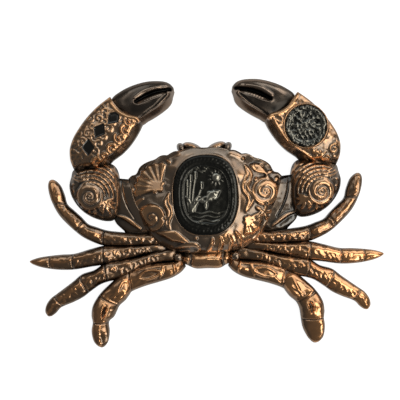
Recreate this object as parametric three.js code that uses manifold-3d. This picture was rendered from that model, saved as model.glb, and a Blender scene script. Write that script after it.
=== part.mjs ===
// A crab medal: a flat-backed crab cast in zinc alloy and plated in antique copper, with dark
// nickel claw fingers, an oval badge let into the shell and a round badge let into one claw.
// It lies on its flat back. Millimetres, +Z up, +Y towards the head, origin at the back face
// under the middle of the shell. The crab is its own mirror image about X = 0, apart from the
// round badge and the last leg's foot, so every piece is drawn once, on the right side.
import * as THREE from "three";
import { mergeVertices } from "three/addons/utils/BufferGeometryUtils.js";
import Module from "manifold-3d";

const wasm = await Module();
wasm.setup();

// ---- driving dimensions -------------------------------------------------------------------
const GAP = 0.3; // clearance between two pieces that meet
const CUTTER_HEIGHT = 20; // taller than any piece
const CUTTER_DEPTH = 1; // how far a cutter starts below the back face

const OVAL = { x: 0, y: 5.0, halfWidth: 8.1, halfHeight: 9.95, power: 2.5 };
const OVAL_FLOOR = 3.4;
const OVAL_TOP = 6.8;
const ROUND = { x: 25.3, y: 21.6, radius: 5.3 };
const ROUND_FLOOR = 3.2;
const ROUND_TOP = 6.4;
const COLLAR = { width: 0.8, top: 6.1, drop: 0.5 }; // the raised ring round the round badge
const COLLAR_SHOULDER = 0.92; // where the ring's flat top ends, as a share of its radius
const BADGE_RECESS = 0.35; // how far the badges' middles lie below their bands
const BADGE_BEVEL = 0.35;
const BADGE_BAND = { outer: 0.95, inner: 0.7, foot: 0.67 }; // shares of the badge's half width
const BADGED_CLAW_BULGE = [0.35, 0.2]; // how much further out the badged claw's outer side lies

// The shell's rim on the right side, from the middle of the brow round to the middle of the tail.
const SHELL_RIM = [
  [0, 16.8], [3, 16.9], [6, 16.2], [7.5, 16.05], [8.7, 15.5], [9.3, 15.15], [10.3, 15.2],
  [11.3, 14.9], [12.4, 14.2], [14, 13.7], [15.4, 13.05], [16.4, 12.2], [17.0, 11.0],
  [17.5, 10.5], [18.3, 10.3], [18.9, 9.8], [19.5, 9.0], [20.1, 7.0], [19.8, 4.8], [18.7, 2.5],
  [17.2, -0.2], [15.6, -2.8], [14.2, -5.0], [12.7, -6.8], [10.8, -7.9], [9.0, -8.6],
  [6.5, -9.3], [3, -9.55], [0, -9.6],
];
// The shell's height from the oval badge (share 0) out to its rim (share 1).
const SHELL_SLOPE = [[0, 6.2], [0.3, 6.0], [0.6, 5.2], [0.85, 3.9], [1, 2.4]];

// The elbow knob's rim on the right side, once round, and its height from middle to rim.
const ELBOW_CENTRE = [27.7, 6.2];
const ELBOW_RIM = [
  [34.0, 8.2], [33.5, 10.2], [32.9, 11.9], [30.8, 12.4], [28, 12.8], [25.4, 13.2],
  [23.4, 13.3], [22.2, 12.3], [21.6, 10.8], [21.3, 8.5], [21.3, 5.5], [21.5, 2.6],
  [22.1, 0.4], [23.4, -0.9], [25.4, -0.95], [27.5, -0.35], [29.4, 0.6], [31.2, 2.0],
  [32.7, 3.9], [33.7, 6.0],
];
const ELBOW_SLOPE = [[0, 6.2], [0.45, 5.9], [0.8, 4.6], [1, 2.6]];

// Round lobes that stand on the shell's rim: middle, half length, half width, turn, height.
const LOBES = {
  brow: { middle: [4.1, 16.9], half: [2.3, 1.35], turn: 10, height: 3.6 },
  eye: { middle: [6.35, 16.9], half: [0.85, 1.3], turn: -25, height: 3.0 },
  hip: { middle: [7.2, -10.4], half: [1.5, 1.4], turn: 0, height: 3.8 },
};

// A limb is drawn as rungs, from its root to its tip. Each rung has its two ends on the limb's
// outline, the height of its crest, and how far across from the first end the crest lies.
const LIMBS = {
  tail: [
    [[-5.9, -9.4], [-5.9, -11.9], 2.6, 0.5], [[-4.6, -9.0], [-4.6, -12.9], 3.4, 0.5],
    [[-2.8, -9.0], [-2.8, -13.4], 3.7, 0.5], [[2.8, -9.0], [2.8, -13.4], 3.7, 0.5],
    [[4.6, -9.0], [4.6, -12.9], 3.4, 0.5], [[5.9, -9.4], [5.9, -11.9], 2.6, 0.5],
  ],
  upper_arm: [
    [[22.0, 9.8], [19.0, 9.2], 2.8, 0.5], [[22.4, 7.5], [18.4, 7.0], 3.4, 0.5],
    [[22.6, 4.0], [17.6, 3.2], 3.6, 0.5], [[22.9, 0.9], [15.6, 0.2], 3.6, 0.5],
    [[22.6, -1.5], [14.6, -2.2], 3.3, 0.5], [[20.4, -3.7], [13.4, -3.9], 2.6, 0.5],
  ],
  claw: [
    [[32.9, 12.4], [23.6, 13.7], 4.6, 0.7], [[33.6, 14.8], [22.2, 14.5], 5.5, 0.74],
    [[33.6, 17.2], [20.4, 15.8], 6.0, 0.8], [[32.7, 19.9], [18.6, 17.6], 6.1, 0.84],
    [[31.1, 22.5], [17.1, 19.6], 6.1, 0.86], [[29.1, 25.1], [16.0, 21.4], 6.0, 0.86],
    [[26.4, 27.8], [15.5, 22.4], 5.8, 0.86], [[23.3, 30.2], [15.2, 22.8], 5.5, 0.86],
  ],
  fingers: [
    [[21.2, 27.2], [18.0, 25.3], 4.2, 0.6], [[22.3, 28.9], [16.3, 24.4], 4.8, 0.75],
    [[22.7, 29.9], [15.3, 23.1], 5.0, 0.8], [[21.2, 31.1], [14.0, 23.8], 5.1, 0.8],
    [[19.0, 32.3], [12.7, 24.4], 5.1, 0.79], [[16.5, 33.2], [11.2, 25.3], 5.0, 0.78],
    [[14.0, 33.75], [9.9, 26.2], 4.9, 0.77], [[11.5, 33.85], [8.7, 27.2], 4.6, 0.74],
    [[9.6, 33.65], [7.9, 28.3], 4.2, 0.7], [[8.3, 33.1], [7.55, 29.6], 3.5, 0.6],
    [[7.4, 32.2], [7.15, 30.9], 2.4, 0.5],
  ],
  leg_1: [
    [[13.6, -4.4], [11.6, -7.0], 2.9, 0.45], [[18.0, -4.2], [17.5, -7.1], 3.2, 0.45],
    [[21.5, -3.8], [21.3, -7.1], 3.3, 0.45], [[25.0, -3.3], [25.3, -6.95], 3.0, 0.45],
    [[27.6, -2.4], [28.3, -6.25], 3.5, 0.45], [[29.6, -1.6], [31.2, -4.7], 3.1, 0.5],
    [[31.2, 0.1], [34.0, -2.3], 3.4, 0.5], [[33.1, 1.9], [36.6, 0.5], 3.3, 0.5],
    [[34.7, 3.5], [38.2, 3.3], 2.9, 0.5], [[35.3, 5.7], [39.1, 5.8], 3.1, 0.5],
    [[36.2, 8.0], [39.45, 8.0], 2.8, 0.5], [[37.2, 9.2], [39.2, 9.3], 2.2, 0.5],
    [[38.1, 9.75], [38.7, 9.75], 1.5, 0.5],
  ],
  leg_2: [
    [[10.6, -7.7], [10.9, -8.6], 2.2, 0.4], [[14.0, -7.65], [14.0, -9.1], 2.6, 0.4],
    [[18.0, -7.55], [18.0, -10.0], 3.0, 0.4], [[22.0, -7.45], [22.0, -10.95], 3.3, 0.4],
    [[25.6, -7.4], [25.4, -11.6], 3.2, 0.4], [[29.3, -7.95], [29.1, -12.35], 3.7, 0.4],
    [[33.2, -9.0], [33.0, -12.95], 3.2, 0.4], [[36.4, -9.15], [36.2, -13.0], 3.5, 0.45],
    [[39.4, -9.4], [39.3, -12.7], 2.9, 0.45], [[42.0, -9.75], [41.9, -12.15], 2.7, 0.45],
    [[43.8, -10.25], [43.6, -11.5], 2.0, 0.5], [[44.5, -10.6], [44.45, -10.95], 1.4, 0.5],
  ],
  leg_3: [
    [[7.8, -8.6], [7.8, -11.2], 2.6, 0.4], [[12.0, -9.1], [12.2, -11.5], 2.8, 0.4],
    [[15.5, -9.9], [16.0, -12.0], 3.0, 0.4], [[19.0, -10.6], [19.8, -13.3], 3.3, 0.4],
    [[22.5, -11.05], [23.2, -14.9], 3.5, 0.4], [[25.5, -11.7], [24.9, -15.9], 3.2, 0.4],
    [[28.3, -13.2], [26.9, -16.9], 3.7, 0.4], [[31.4, -14.2], [29.3, -18.5], 3.3, 0.4],
    [[33.6, -15.9], [31.2, -19.9], 3.6, 0.4], [[35.8, -17.5], [33.6, -21.1], 3.5, 0.45],
    [[37.9, -19.0], [35.7, -21.9], 3.0, 0.45], [[39.5, -20.2], [37.1, -22.6], 3.0, 0.5],
    [[40.6, -21.8], [38.1, -23.7], 2.6, 0.5], [[40.9, -23.4], [39.2, -24.5], 2.0, 0.5],
    [[40.4, -24.4], [39.9, -24.65], 1.4, 0.5],
  ],
  leg_4: [
    [[5.9, -10.2], [5.3, -12.9], 3.0, 0.5], [[7.4, -11.4], [6.6, -14.3], 3.5, 0.5],
    [[9.3, -11.8], [8.9, -15.6], 3.9, 0.5], [[12.5, -12.0], [12.3, -16.6], 4.1, 0.5],
    [[16.0, -12.5], [15.6, -17.5], 4.1, 0.5], [[19.6, -13.5], [18.8, -18.7], 3.5, 0.5],
    [[21.8, -14.6], [19.6, -19.6], 3.9, 0.5], [[24.3, -16.6], [20.6, -20.9], 3.9, 0.5],
    [[27.0, -19.2], [22.1, -22.2], 3.4, 0.5], [[28.8, -22.0], [22.8, -23.5], 4.0, 0.5],
  ],
};
// The last leg's foot is waisted on the left side and straight on the right.
const WAISTED_FOOT = [
  [[29.25, -24.4], [23.6, -25.0], 3.7, 0.5], [[29.0, -26.3], [24.9, -26.3], 3.0, 0.5],
  [[29.35, -28.6], [24.8, -28.8], 3.3, 0.5], [[28.9, -31.0], [25.2, -31.1], 2.7, 0.5],
  [[27.9, -32.3], [26.0, -32.3], 1.9, 0.5], [[27.1, -32.7], [26.6, -32.7], 1.3, 0.5],
];
const STRAIGHT_FOOT = [
  [[29.25, -24.4], [23.1, -24.8], 3.7, 0.5], [[29.1, -26.4], [23.3, -26.5], 3.2, 0.5],
  [[29.3, -28.6], [23.7, -28.8], 3.4, 0.5], [[28.9, -31.0], [24.8, -31.1], 2.7, 0.5],
  [[27.9, -32.3], [25.8, -32.3], 1.9, 0.5], [[27.1, -32.7], [26.4, -32.7], 1.3, 0.5],
];
LIMBS.badged_claw = LIMBS.claw.map(([outer, ...rest]) => {
  return [outer.map((place, axis) => place + BADGED_CLAW_BULGE[axis]), ...rest];
});
LIMBS.leg_4_left = [...LIMBS.leg_4, ...WAISTED_FOOT];
LIMBS.leg_4_right = [...LIMBS.leg_4, ...STRAIGHT_FOOT];

// The slot between the claw's two fingers, once round, and how high its floor lies.
const SLOT = [
  [17.3, 29.2], [16.0, 30.2], [14.5, 31.0], [12, 31.75], [9.6, 31.8], [8.9, 31.2],
  [10.4, 30.4], [12.4, 29.9], [14.2, 29.2], [16.2, 28.4], [17.1, 28.4],
];
const SLOT_FLOOR = 2.0;

// ---- limbs: a box whose top, bottom and ends are moved to the rungs ------------------------
const ACROSS = [0, 0.12, 0.5, 0.88, 1]; // where a limb's long edges lie; 0.5 is its crest
const WALL_SHARE = 0.5; // a limb's side wall, as a share of its crest's height
const SHOULDER_SHARE = 0.8; // the edge between its wall and its crest, likewise
const LIMB_HEIGHTS = [WALL_SHARE, SHOULDER_SHARE, 1, SHOULDER_SHARE, WALL_SHARE];
const STEPS_PER_RUNG = 2;

function rungCurve(rungs, end) {
  const points = rungs.map((rung) => new THREE.Vector3(rung[end][0], rung[end][1], rung[2]));
  return new THREE.CatmullRomCurve3(points);
}

// A place across a limb, moved so that the middle comes to lie on the crest.
function crestShare(across, crest) {
  if (across < 0.5) return across * 2 * crest;
  return 1 - (1 - across) * 2 * (1 - crest);
}

function limb(rungs) {
  const along = (rungs.length - 1) * STEPS_PER_RUNG;
  const box = new THREE.BoxGeometry(1, 1, 1, ACROSS.length - 1, 1, along);
  const ends = [rungCurve(rungs, 0), rungCurve(rungs, 1)];
  const place = box.getAttribute("position");
  for (let i = 0; i < place.count; i += 1) {
    const share = place.getZ(i) + 0.5;
    const edge = Math.round((place.getX(i) + 0.5) * (ACROSS.length - 1));
    const rung = Math.min(Math.round(share * (rungs.length - 1)), rungs.length - 1);
    const crest = rungs[rung][3];
    const width = crestShare(ACROSS[edge], crest);
    const point = ends[0].getPoint(share).lerp(ends[1].getPoint(share), width);
    place.setXYZ(i, point.x, point.y, place.getY(i) < 0 ? 0 : point.z * LIMB_HEIGHTS[edge]);
  }
  return solid(box);
}

function limbOutline(rungs) {
  const steps = (rungs.length - 1) * STEPS_PER_RUNG;
  const near = rungCurve(rungs, 0).getPoints(steps);
  const far = rungCurve(rungs, 1).getPoints(steps).reverse();
  return [...near, ...far].map((point) => new THREE.Vector2(point.x, point.y));
}

// ---- domes: a lathe whose rings are moved to a closed rim ----------------------------------
function closedLoop(points, steps) {
  const corners = points.map(([x, y]) => new THREE.Vector3(x, y, 0));
  const curve = new THREE.CatmullRomCurve3(corners, true);
  const loop = curve.getPoints(steps).slice(0, steps);
  return loop.map((point) => new THREE.Vector2(point.x, point.y));
}

// Every profile point is [ring, height]: ring 0 is the centre, 1 the inner loop, 2 the outer.
function dome(profile, centre, inner, outer) {
  const steps = outer.length;
  const points = profile.map(([ring, height]) => new THREE.Vector2(ring, height));
  const lathe = new THREE.LatheGeometry(points, steps);
  const place = lathe.getAttribute("position");
  const middle = new THREE.Vector2(...centre);
  for (let i = 0; i < place.count; i += 1) {
    const turn = Math.floor(i / profile.length) % steps;
    const [ring, height] = profile[i % profile.length];
    const point = middle.clone().lerp(inner[turn], Math.min(ring, 1));
    point.lerp(outer[turn], Math.max(ring - 1, 0));
    place.setXYZ(i, point.x, point.y, height);
  }
  return solid(lathe);
}

function ovalPoint(direction, inset) {
  const { x, y, halfWidth, halfHeight, power } = OVAL;
  const across = Math.abs(direction.x / (halfWidth - inset)) ** power;
  const up = Math.abs(direction.y / (halfHeight - inset)) ** power;
  const reach = (across + up) ** (-1 / power);
  return new THREE.Vector2(x, y).addScaledVector(direction, reach);
}

function circleLoop(steps, radius, [x, y]) {
  const turns = Array.from({ length: steps }, (_, i) => (i * 2 * Math.PI) / steps);
  return turns.map((turn) => {
    return new THREE.Vector2(x + radius * Math.cos(turn), y + radius * Math.sin(turn));
  });
}

function ovalLoop(steps, inset) {
  return circleLoop(steps, 1, [0, 0]).map((direction) => ovalPoint(direction, inset));
}

// ---- solids, joins and cuts ----------------------------------------------------------------
function signedVolume(place, triangles) {
  const corners = [new THREE.Vector3(), new THREE.Vector3(), new THREE.Vector3()];
  let volume = 0;
  for (let i = 0; i < triangles.length; i += 3) {
    corners.forEach((corner, side) => corner.fromBufferAttribute(place, triangles[i + side]));
    volume += corners[0].dot(corners[1].cross(corners[2])) / 6;
  }
  return volume;
}

const SAME_PLACE = 1e-4; // corners that lie this close are one

// A closed geometry becomes a solid, with its faces turned outwards.
function solid(geometry) {
  geometry.deleteAttribute("normal");
  geometry.deleteAttribute("uv");
  const merged = mergeVertices(geometry, SAME_PLACE);
  const place = merged.getAttribute("position");
  const triangles = merged.getIndex().array.slice();
  if (signedVolume(place, triangles) < 0) triangles.reverse();
  const kept = [];
  for (let i = 0; i < triangles.length; i += 3) {
    const [a, b, c] = triangles.slice(i, i + 3);
    if (a !== b && b !== c && c !== a) kept.push(a, b, c);
  }
  const vertProperties = new Float32Array(place.array);
  const triVerts = new Uint32Array(kept);
  return new wasm.Manifold(new wasm.Mesh({ numProp: 3, vertProperties, triVerts }));
}

// The upright prism that stands on a loop, grown outwards all round.
function prism(loop, grow, floor = -CUTTER_DEPTH) {
  const clockwise = THREE.ShapeUtils.isClockWise(loop);
  const grown = loop.map((point, i) => {
    const before = loop[(i + loop.length - 1) % loop.length];
    const after = loop[(i + 1) % loop.length];
    const side = new THREE.Vector2(after.y - before.y, before.x - after.x).normalize();
    return point.clone().addScaledVector(side, clockwise ? -grow : grow);
  });
  const block = new THREE.ExtrudeGeometry(new THREE.Shape(grown), {
    depth: CUTTER_HEIGHT,
    bevelEnabled: false,
  });
  return solid(block.translate(0, 0, floor));
}

// ---- the right-hand pieces, cut clear of the pieces that they meet -------------------------
const RIM_STEPS = 72;
const OVAL_STEPS = 48;
const ROUND_STEPS = 36;
const LOBE_STEPS = 14;
const LOBE_SLOPE = [[0, 1], [0.55, 0.9], [0.85, 0.68], [1, 0.4]];
const FLATNESS = 0.005; // facets that lie this close to one plane are joined

const shellLoop = closedLoop(mirroredLoop(SHELL_RIM), RIM_STEPS);
const elbowLoop = closedLoop(ELBOW_RIM, ELBOW_RIM.length * 2);
const slotLoop = closedLoop(SLOT, SLOT.length * 2);
const roundLoop = circleLoop(ROUND_STEPS, ROUND.radius, [ROUND.x, ROUND.y]);

// A loop drawn for one side only, from the middle of the front to the middle of the back.
function mirroredLoop(half) {
  return [...half, ...half.slice(1, -1).reverse().map(([x, y]) => [-x, y])];
}

function mound(slope, centre, rim) {
  return dome([...slope, [1, 0], [0, 0]], centre, rim, rim);
}

function lobeLoop({ middle, half, turn }, side) {
  const centre = new THREE.Vector2(middle[0] * side, middle[1]);
  const angle = THREE.MathUtils.degToRad(turn * side);
  return circleLoop(LOBE_STEPS, 1, [0, 0]).map((point) => {
    const stretched = new THREE.Vector2(point.x * half[0], point.y * half[1]);
    return stretched.rotateAround(new THREE.Vector2(), angle).add(centre);
  });
}

function lobe(shape, side) {
  const slope = LOBE_SLOPE.map(([ring, share]) => [ring, share * shape.height]);
  return mound(slope, [shape.middle[0] * side, shape.middle[1]], lobeLoop(shape, side));
}

function shellSolid() {
  const centre = new THREE.Vector2(OVAL.x, OVAL.y);
  const pocket = shellLoop.map((point) => ovalPoint(point.clone().sub(centre), 0));
  const slope = SHELL_SLOPE.map(([share, height]) => [1 + share, height]);
  const profile = [[0, OVAL_FLOOR], [1, OVAL_FLOOR], ...slope, [2, 0], [0, 0]];
  const body = dome(profile, [OVAL.x, OVAL.y], pocket, shellLoop);
  const lobes = Object.values(LOBES).flatMap((shape) => [lobe(shape, 1), lobe(shape, -1)]);
  return [limb(LIMBS.tail), ...lobes].reduce((whole, piece) => whole.add(piece), body);
}

function badgeSolid(loop, centre, floor, top) {
  const profile = [
    [0, floor + GAP], [1, floor + GAP], [1, top - BADGE_BEVEL], [BADGE_BAND.outer, top],
    [BADGE_BAND.inner, top], [BADGE_BAND.foot, top - BADGE_RECESS], [0, top - BADGE_RECESS],
  ];
  return dome(profile, centre, loop, loop);
}

// The collar stands round the badge's pocket, as far as the hand's own outline.
function collarSolid() {
  const loop = circleLoop(ROUND_STEPS, ROUND.radius + COLLAR.width, [ROUND.x, ROUND.y]);
  const slope = [[0, COLLAR.top], [COLLAR_SHOULDER, COLLAR.top], [1, COLLAR.top - COLLAR.drop]];
  return mound(slope, [ROUND.x, ROUND.y], loop).intersect(prism(limbOutline(LIMBS.badged_claw), 0));
}

const shellCutters = [
  prism(shellLoop, GAP),
  prism(limbOutline(LIMBS.tail), GAP),
  prism(lobeLoop(LOBES.hip, 1), GAP),
];
const armCutters = [prism(elbowLoop, GAP), prism(limbOutline(LIMBS.upper_arm), GAP)];
const fingersCutter = prism(limbOutline(LIMBS.fingers), GAP);
const roundPocket = prism(roundLoop, 0, ROUND_FLOOR);
const slotCutter = prism(slotLoop, 0, SLOT_FLOOR);

function largest(pieces) {
  return pieces.sort((a, b) => b.volume() - a.volume())[0];
}

function cut(whole, cutters) {
  const left = cutters.reduce((rest, cutter) => rest.subtract(cutter), whole);
  return largest(left.decompose());
}

function legSolids(rear) {
  const outlines = ["leg_2", "leg_3"].map((name) => prism(limbOutline(LIMBS[name]), GAP));
  const rearCutter = prism(limbOutline(rear), GAP);
  return [
    cut(limb(LIMBS.leg_1), [...shellCutters, ...armCutters, outlines[0]]),
    cut(limb(LIMBS.leg_2), [...shellCutters, outlines[1]]),
    cut(limb(LIMBS.leg_3), [...shellCutters, rearCutter]),
    cut(limb(rear), shellCutters),
  ];
}

const elbow = mound(ELBOW_SLOPE, ELBOW_CENTRE, elbowLoop);
const armSolid = cut(limb(LIMBS.upper_arm).add(elbow), shellCutters);
const clawCutters = [...armCutters, fingersCutter];
const plainClaw = cut(limb(LIMBS.claw), clawCutters);
const badgedClaw = cut(limb(LIMBS.badged_claw).add(collarSolid()), [...clawCutters, roundPocket]);
const fingersSolid = cut(limb(LIMBS.fingers), [slotCutter]);

// ---- the medal -----------------------------------------------------------------------------
const copper = { color: 0x8a6248, roughness: 0.38, metalness: 1 };
const darkNickel = { color: 0x2e2b28, roughness: 0.35, metalness: 1 };
const blackNickel = { color: 0x1d1f20, roughness: 0.45, metalness: 1 };

const medal = new THREE.Group();
medal.name = "crab_medal";

function addPiece(name, piece, finish, side = 1) {
  const { vertProperties, triVerts } = piece.simplify(FLATNESS).getMesh();
  const geometry = new THREE.BufferGeometry();
  geometry.setAttribute("position", new THREE.BufferAttribute(vertProperties, 3));
  geometry.setIndex(new THREE.BufferAttribute(triVerts, 1));
  geometry.computeVertexNormals();
  const mesh = new THREE.Mesh(geometry, new THREE.MeshStandardMaterial(finish));
  mesh.name = name;
  mesh.scale.x = side;
  medal.add(mesh);
}

addPiece("shell", shellSolid(), copper);
addPiece(
  "badge_oval",
  badgeSolid(ovalLoop(OVAL_STEPS, GAP), [OVAL.x, OVAL.y], OVAL_FLOOR, OVAL_TOP),
  blackNickel,
);
addPiece(
  "badge_round",
  badgeSolid(
    circleLoop(ROUND_STEPS, ROUND.radius - GAP, [ROUND.x, ROUND.y]),
    [ROUND.x, ROUND.y],
    ROUND_FLOOR,
    ROUND_TOP,
  ),
  blackNickel,
);

const hands = [
  { word: "left", side: -1, claw: plainClaw, rear: LIMBS.leg_4_left },
  { word: "right", side: 1, claw: badgedClaw, rear: LIMBS.leg_4_right },
];
for (const { word, side, claw, rear } of hands) {
  addPiece(`arm_${word}`, armSolid, copper, side);
  addPiece(`claw_${word}`, claw, copper, side);
  addPiece(`fingers_${word}`, fingersSolid, darkNickel, side);
  legSolids(rear).forEach((leg, i) => addPiece(`leg_${word}_${i + 1}`, leg, copper, side));
}

export default medal;
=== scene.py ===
import math

import bmesh
import bpy
import numpy as np
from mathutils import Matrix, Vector


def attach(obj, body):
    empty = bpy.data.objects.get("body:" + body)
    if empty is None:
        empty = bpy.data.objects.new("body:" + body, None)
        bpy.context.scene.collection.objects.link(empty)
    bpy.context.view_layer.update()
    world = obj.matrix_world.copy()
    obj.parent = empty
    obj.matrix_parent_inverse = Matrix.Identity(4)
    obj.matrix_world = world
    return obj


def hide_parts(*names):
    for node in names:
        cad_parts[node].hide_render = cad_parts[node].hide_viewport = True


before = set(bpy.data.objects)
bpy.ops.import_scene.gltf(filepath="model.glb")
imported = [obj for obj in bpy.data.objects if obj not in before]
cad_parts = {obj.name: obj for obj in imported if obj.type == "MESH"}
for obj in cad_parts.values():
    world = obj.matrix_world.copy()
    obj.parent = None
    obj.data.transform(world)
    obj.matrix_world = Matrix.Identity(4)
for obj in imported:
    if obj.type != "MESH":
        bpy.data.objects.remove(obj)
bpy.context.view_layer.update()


# ---- Camera: it looks straight down at the crab, which lies on its flat back. The long lens
# ---- keeps the claws and the feet at one scale, and the crab sits turned by a degree or so.
MM = 0.001
VIEW_MIDDLE = Vector((-1.38, 3.78, 3.0)) * MM
VIEW_WIDTH = 100 * MM
CAMERA_HEIGHT = 420 * MM
CRAB_TURN = math.radians(-1.3)
SENSOR_WIDTH = 36


def added(name, data):
    """A new object in the scene, made of the given data."""
    thing = bpy.data.objects.new(name, data)
    bpy.context.scene.collection.objects.link(thing)
    return thing


camera_data = bpy.data.cameras.new("camera")
camera_data.sensor_width = SENSOR_WIDTH
camera_data.lens = SENSOR_WIDTH * CAMERA_HEIGHT / VIEW_WIDTH
camera_data.clip_start = 0.01
camera_data.clip_end = 20
camera = added("camera", camera_data)
camera.location = VIEW_MIDDLE + Vector((0, 0, CAMERA_HEIGHT))
camera.rotation_euler = (0, 0, CRAB_TURN)
bpy.context.scene.camera = camera
bpy.context.scene.view_settings.view_transform = "Standard"


# ---- Studio: white paper under the crab, and six soft lamps. A cool one stands at its head, warm
# ---- ones high on its right, at the corner between them and low behind that, a small one off its
# ---- right feet, which picks out the edges, and a faint one on its left.
WARM_WHITE = (1.0, 0.97, 0.92)
ROOM_LIGHT = (0.1, 0.1, 0.098, 1)
PAPER_IN_VIEW = (0.9, 0.9, 0.9, 1)


def soft_lamp(name, place, size, watts, colour):
    """A flat studio lamp that faces the crab."""
    data = bpy.data.lights.new(name, "AREA")
    data.shape = "RECTANGLE"
    data.size, data.size_y = size
    data.energy = watts
    data.color = colour
    lamp = added(name, data)
    lamp.location = place
    lamp.rotation_euler = (VIEW_MIDDLE - Vector(place)).to_track_quat("-Z", "Y").to_euler()


soft_lamp("head_card", (0.0, 0.55, 0.43), size=(0.60, 0.30), watts=0.48, colour=(0.9, 1.0, 1.04))
soft_lamp("right_card", (0.32, -0.03, 0.60), size=(0.40, 0.38), watts=1.25, colour=(1.0, 0.95, 0.85))
soft_lamp("corner_card", (0.42, 0.42, 0.38), size=(0.50, 0.30), watts=0.55, colour=WARM_WHITE)
soft_lamp("low_card", (0.50, 0.44, 0.20), size=(0.50, 0.22), watts=0.42, colour=WARM_WHITE)
soft_lamp("foot_lamp", (0.40, -0.42, 0.37), size=(0.22, 0.20), watts=0.60, colour=(1.0, 0.97, 0.88))
soft_lamp("left_card", (-0.25, 0.35, 0.55), size=(0.40, 0.30), watts=0.22, colour=(1.0, 0.98, 0.92))

world = bpy.data.worlds.new("studio")
world.use_nodes = True
bpy.context.scene.world = world
room = world.node_tree.nodes["Background"]
paper = world.node_tree.nodes.new("ShaderNodeBackground")
seen = world.node_tree.nodes.new("ShaderNodeLightPath")
either = world.node_tree.nodes.new("ShaderNodeMixShader")
room.inputs["Color"].default_value = ROOM_LIGHT
paper.inputs["Color"].default_value = PAPER_IN_VIEW
world.node_tree.links.new(seen.outputs["Is Camera Ray"], either.inputs["Fac"])
world.node_tree.links.new(room.outputs["Background"], either.inputs[1])
world.node_tree.links.new(paper.outputs["Background"], either.inputs[2])
world.node_tree.links.new(either.outputs["Shader"], world.node_tree.nodes["World Output"].inputs["Surface"])

FLOOR_SIZE = 6.0
FLOOR_DROP = 0.05 * MM
PAPER_COLOUR = (0.5, 0.5, 0.5, 1)
PAPER_GLOW = 0.2
PAPER_GLOW_IN_VIEW = 0.72

bm = bmesh.new()
bmesh.ops.create_grid(bm, x_segments=1, y_segments=1, size=FLOOR_SIZE / 2)
bmesh.ops.translate(bm, verts=bm.verts, vec=(0, 0, -FLOOR_DROP))
floor_mesh = bpy.data.meshes.new("floor")
bm.to_mesh(floor_mesh)
bm.free()
floor = added("floor", floor_mesh)
paper_finish = bpy.data.materials.new("white_paper")
paper_finish.use_nodes = True
paper_shader = paper_finish.node_tree.nodes["Principled BSDF"]
paper_shader.inputs["Base Color"].default_value = PAPER_COLOUR
paper_shader.inputs["Roughness"].default_value = 0.9
paper_shader.inputs["Emission Color"].default_value = (1, 1, 1, 1)
paper_glow = paper_finish.node_tree.nodes.new("ShaderNodeMath")
paper_glow.operation = "MULTIPLY_ADD"
paper_seen = paper_finish.node_tree.nodes.new("ShaderNodeLightPath")
paper_finish.node_tree.links.new(paper_seen.outputs["Is Camera Ray"], paper_glow.inputs[0])
paper_glow.inputs[1].default_value = PAPER_GLOW_IN_VIEW
paper_glow.inputs[2].default_value = PAPER_GLOW
paper_finish.node_tree.links.new(paper_glow.outputs[0], paper_shader.inputs["Emission Strength"])
floor.data.materials.append(paper_finish)


# ---- Shell: the body of the crab, a zinc alloy casting with a sea garden in low relief, plated
# ---- in copper, blackened, and rubbed bright again on what stands proud. Arms, hands and legs
# ---- are cast with it. Its middle has a pocket for the oval badge.
OVAL = {"middle": (0.0, 5.0), "half_width": 8.1, "half_height": 9.95, "power": 2.5}
SHELL_STEPS_ROUND = 820
SHELL_STEPS_OUT = 84
POCKET_FLOOR = 3.4
POCKET_LIP = 0.1
SHELL_HALF_RIM = [
    (0, 16.8), (3, 16.9), (6, 16.2), (7.5, 16.05), (8.7, 15.5), (9.3, 15.15), (10.3, 15.2),
    (11.3, 14.9), (12.4, 14.2), (14, 13.7), (15.4, 13.05), (16.4, 12.2), (17.0, 11.0),
    (17.5, 10.5), (18.3, 10.3), (18.9, 9.8), (19.5, 9.0), (20.1, 7.0), (19.8, 4.8), (18.7, 2.5),
    (17.2, -0.2), (15.6, -2.8), (14.2, -5.0), (12.7, -6.8), (10.8, -7.9), (9.0, -8.6),
    (6.5, -9.3), (3, -9.55), (0, -9.6),
]
SHELL_TOP = 6.2
SHELL_FALL = [(0, 0), (0.3, 0.05), (0.6, 0.25), (0.85, 0.62), (1, 0.96)]
RIM_DROP = 4.1
SLOPE_AT_SIDES = 0.66
HEAD_FLATTER = 0.24
RIM_ROUNDING = 0.5
RIM_ROUNDED_WIDTH = 0.35
HEAD_SHARPER = 0.85
RIM_PLAIN_WIDTH = 0.4
RIM_SHADE = 0.2
RIM_POINTS = 1400
FAN_SPREAD = 1.05
STAR_ARMS = 5


def smooth_path(points, steps, closed=False):
    """Points on a smooth curve through the given ones, with so many steps from each to the next."""
    knots = np.array(points, float)
    if closed:
        knots = np.vstack([knots[-1:], knots, knots[:2]])
    else:
        knots = np.vstack([2 * knots[0] - knots[1], knots, 2 * knots[-1] - knots[-2]])
    a, b, c, d = (knots[i : len(knots) - 3 + i, None] for i in range(4))
    t = (np.arange(steps) / steps)[None, :, None]
    curve = b + 0.5 * t * (c - a + t * (2 * a - 5 * b + 4 * c - d + t * (3 * (b - c) + d - a)))
    return np.vstack([curve.reshape(-1, knots.shape[1]), knots[-2:-1]])


def at_share(path, share):
    """The places at the given shares of a path's points."""
    ticks = np.linspace(0, 1, len(path))
    return np.stack([np.interp(share, ticks, path[:, axis]) for axis in range(path.shape[1])], -1)


def lengths(path):
    """How far along a path each of its points is."""
    return np.append(0, np.cumsum(np.hypot(*np.diff(path[:, :2], axis=0).T)))


def evenly(path, count):
    """The same path with its points at even distances."""
    length = lengths(path)
    ticks = np.linspace(0, 1, len(path))
    return at_share(path, np.interp(np.linspace(0, length[-1], count), length, ticks))


def rays(angle):
    """The directions at the given angles."""
    return np.stack([np.cos(angle), np.sin(angle)], -1)


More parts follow.
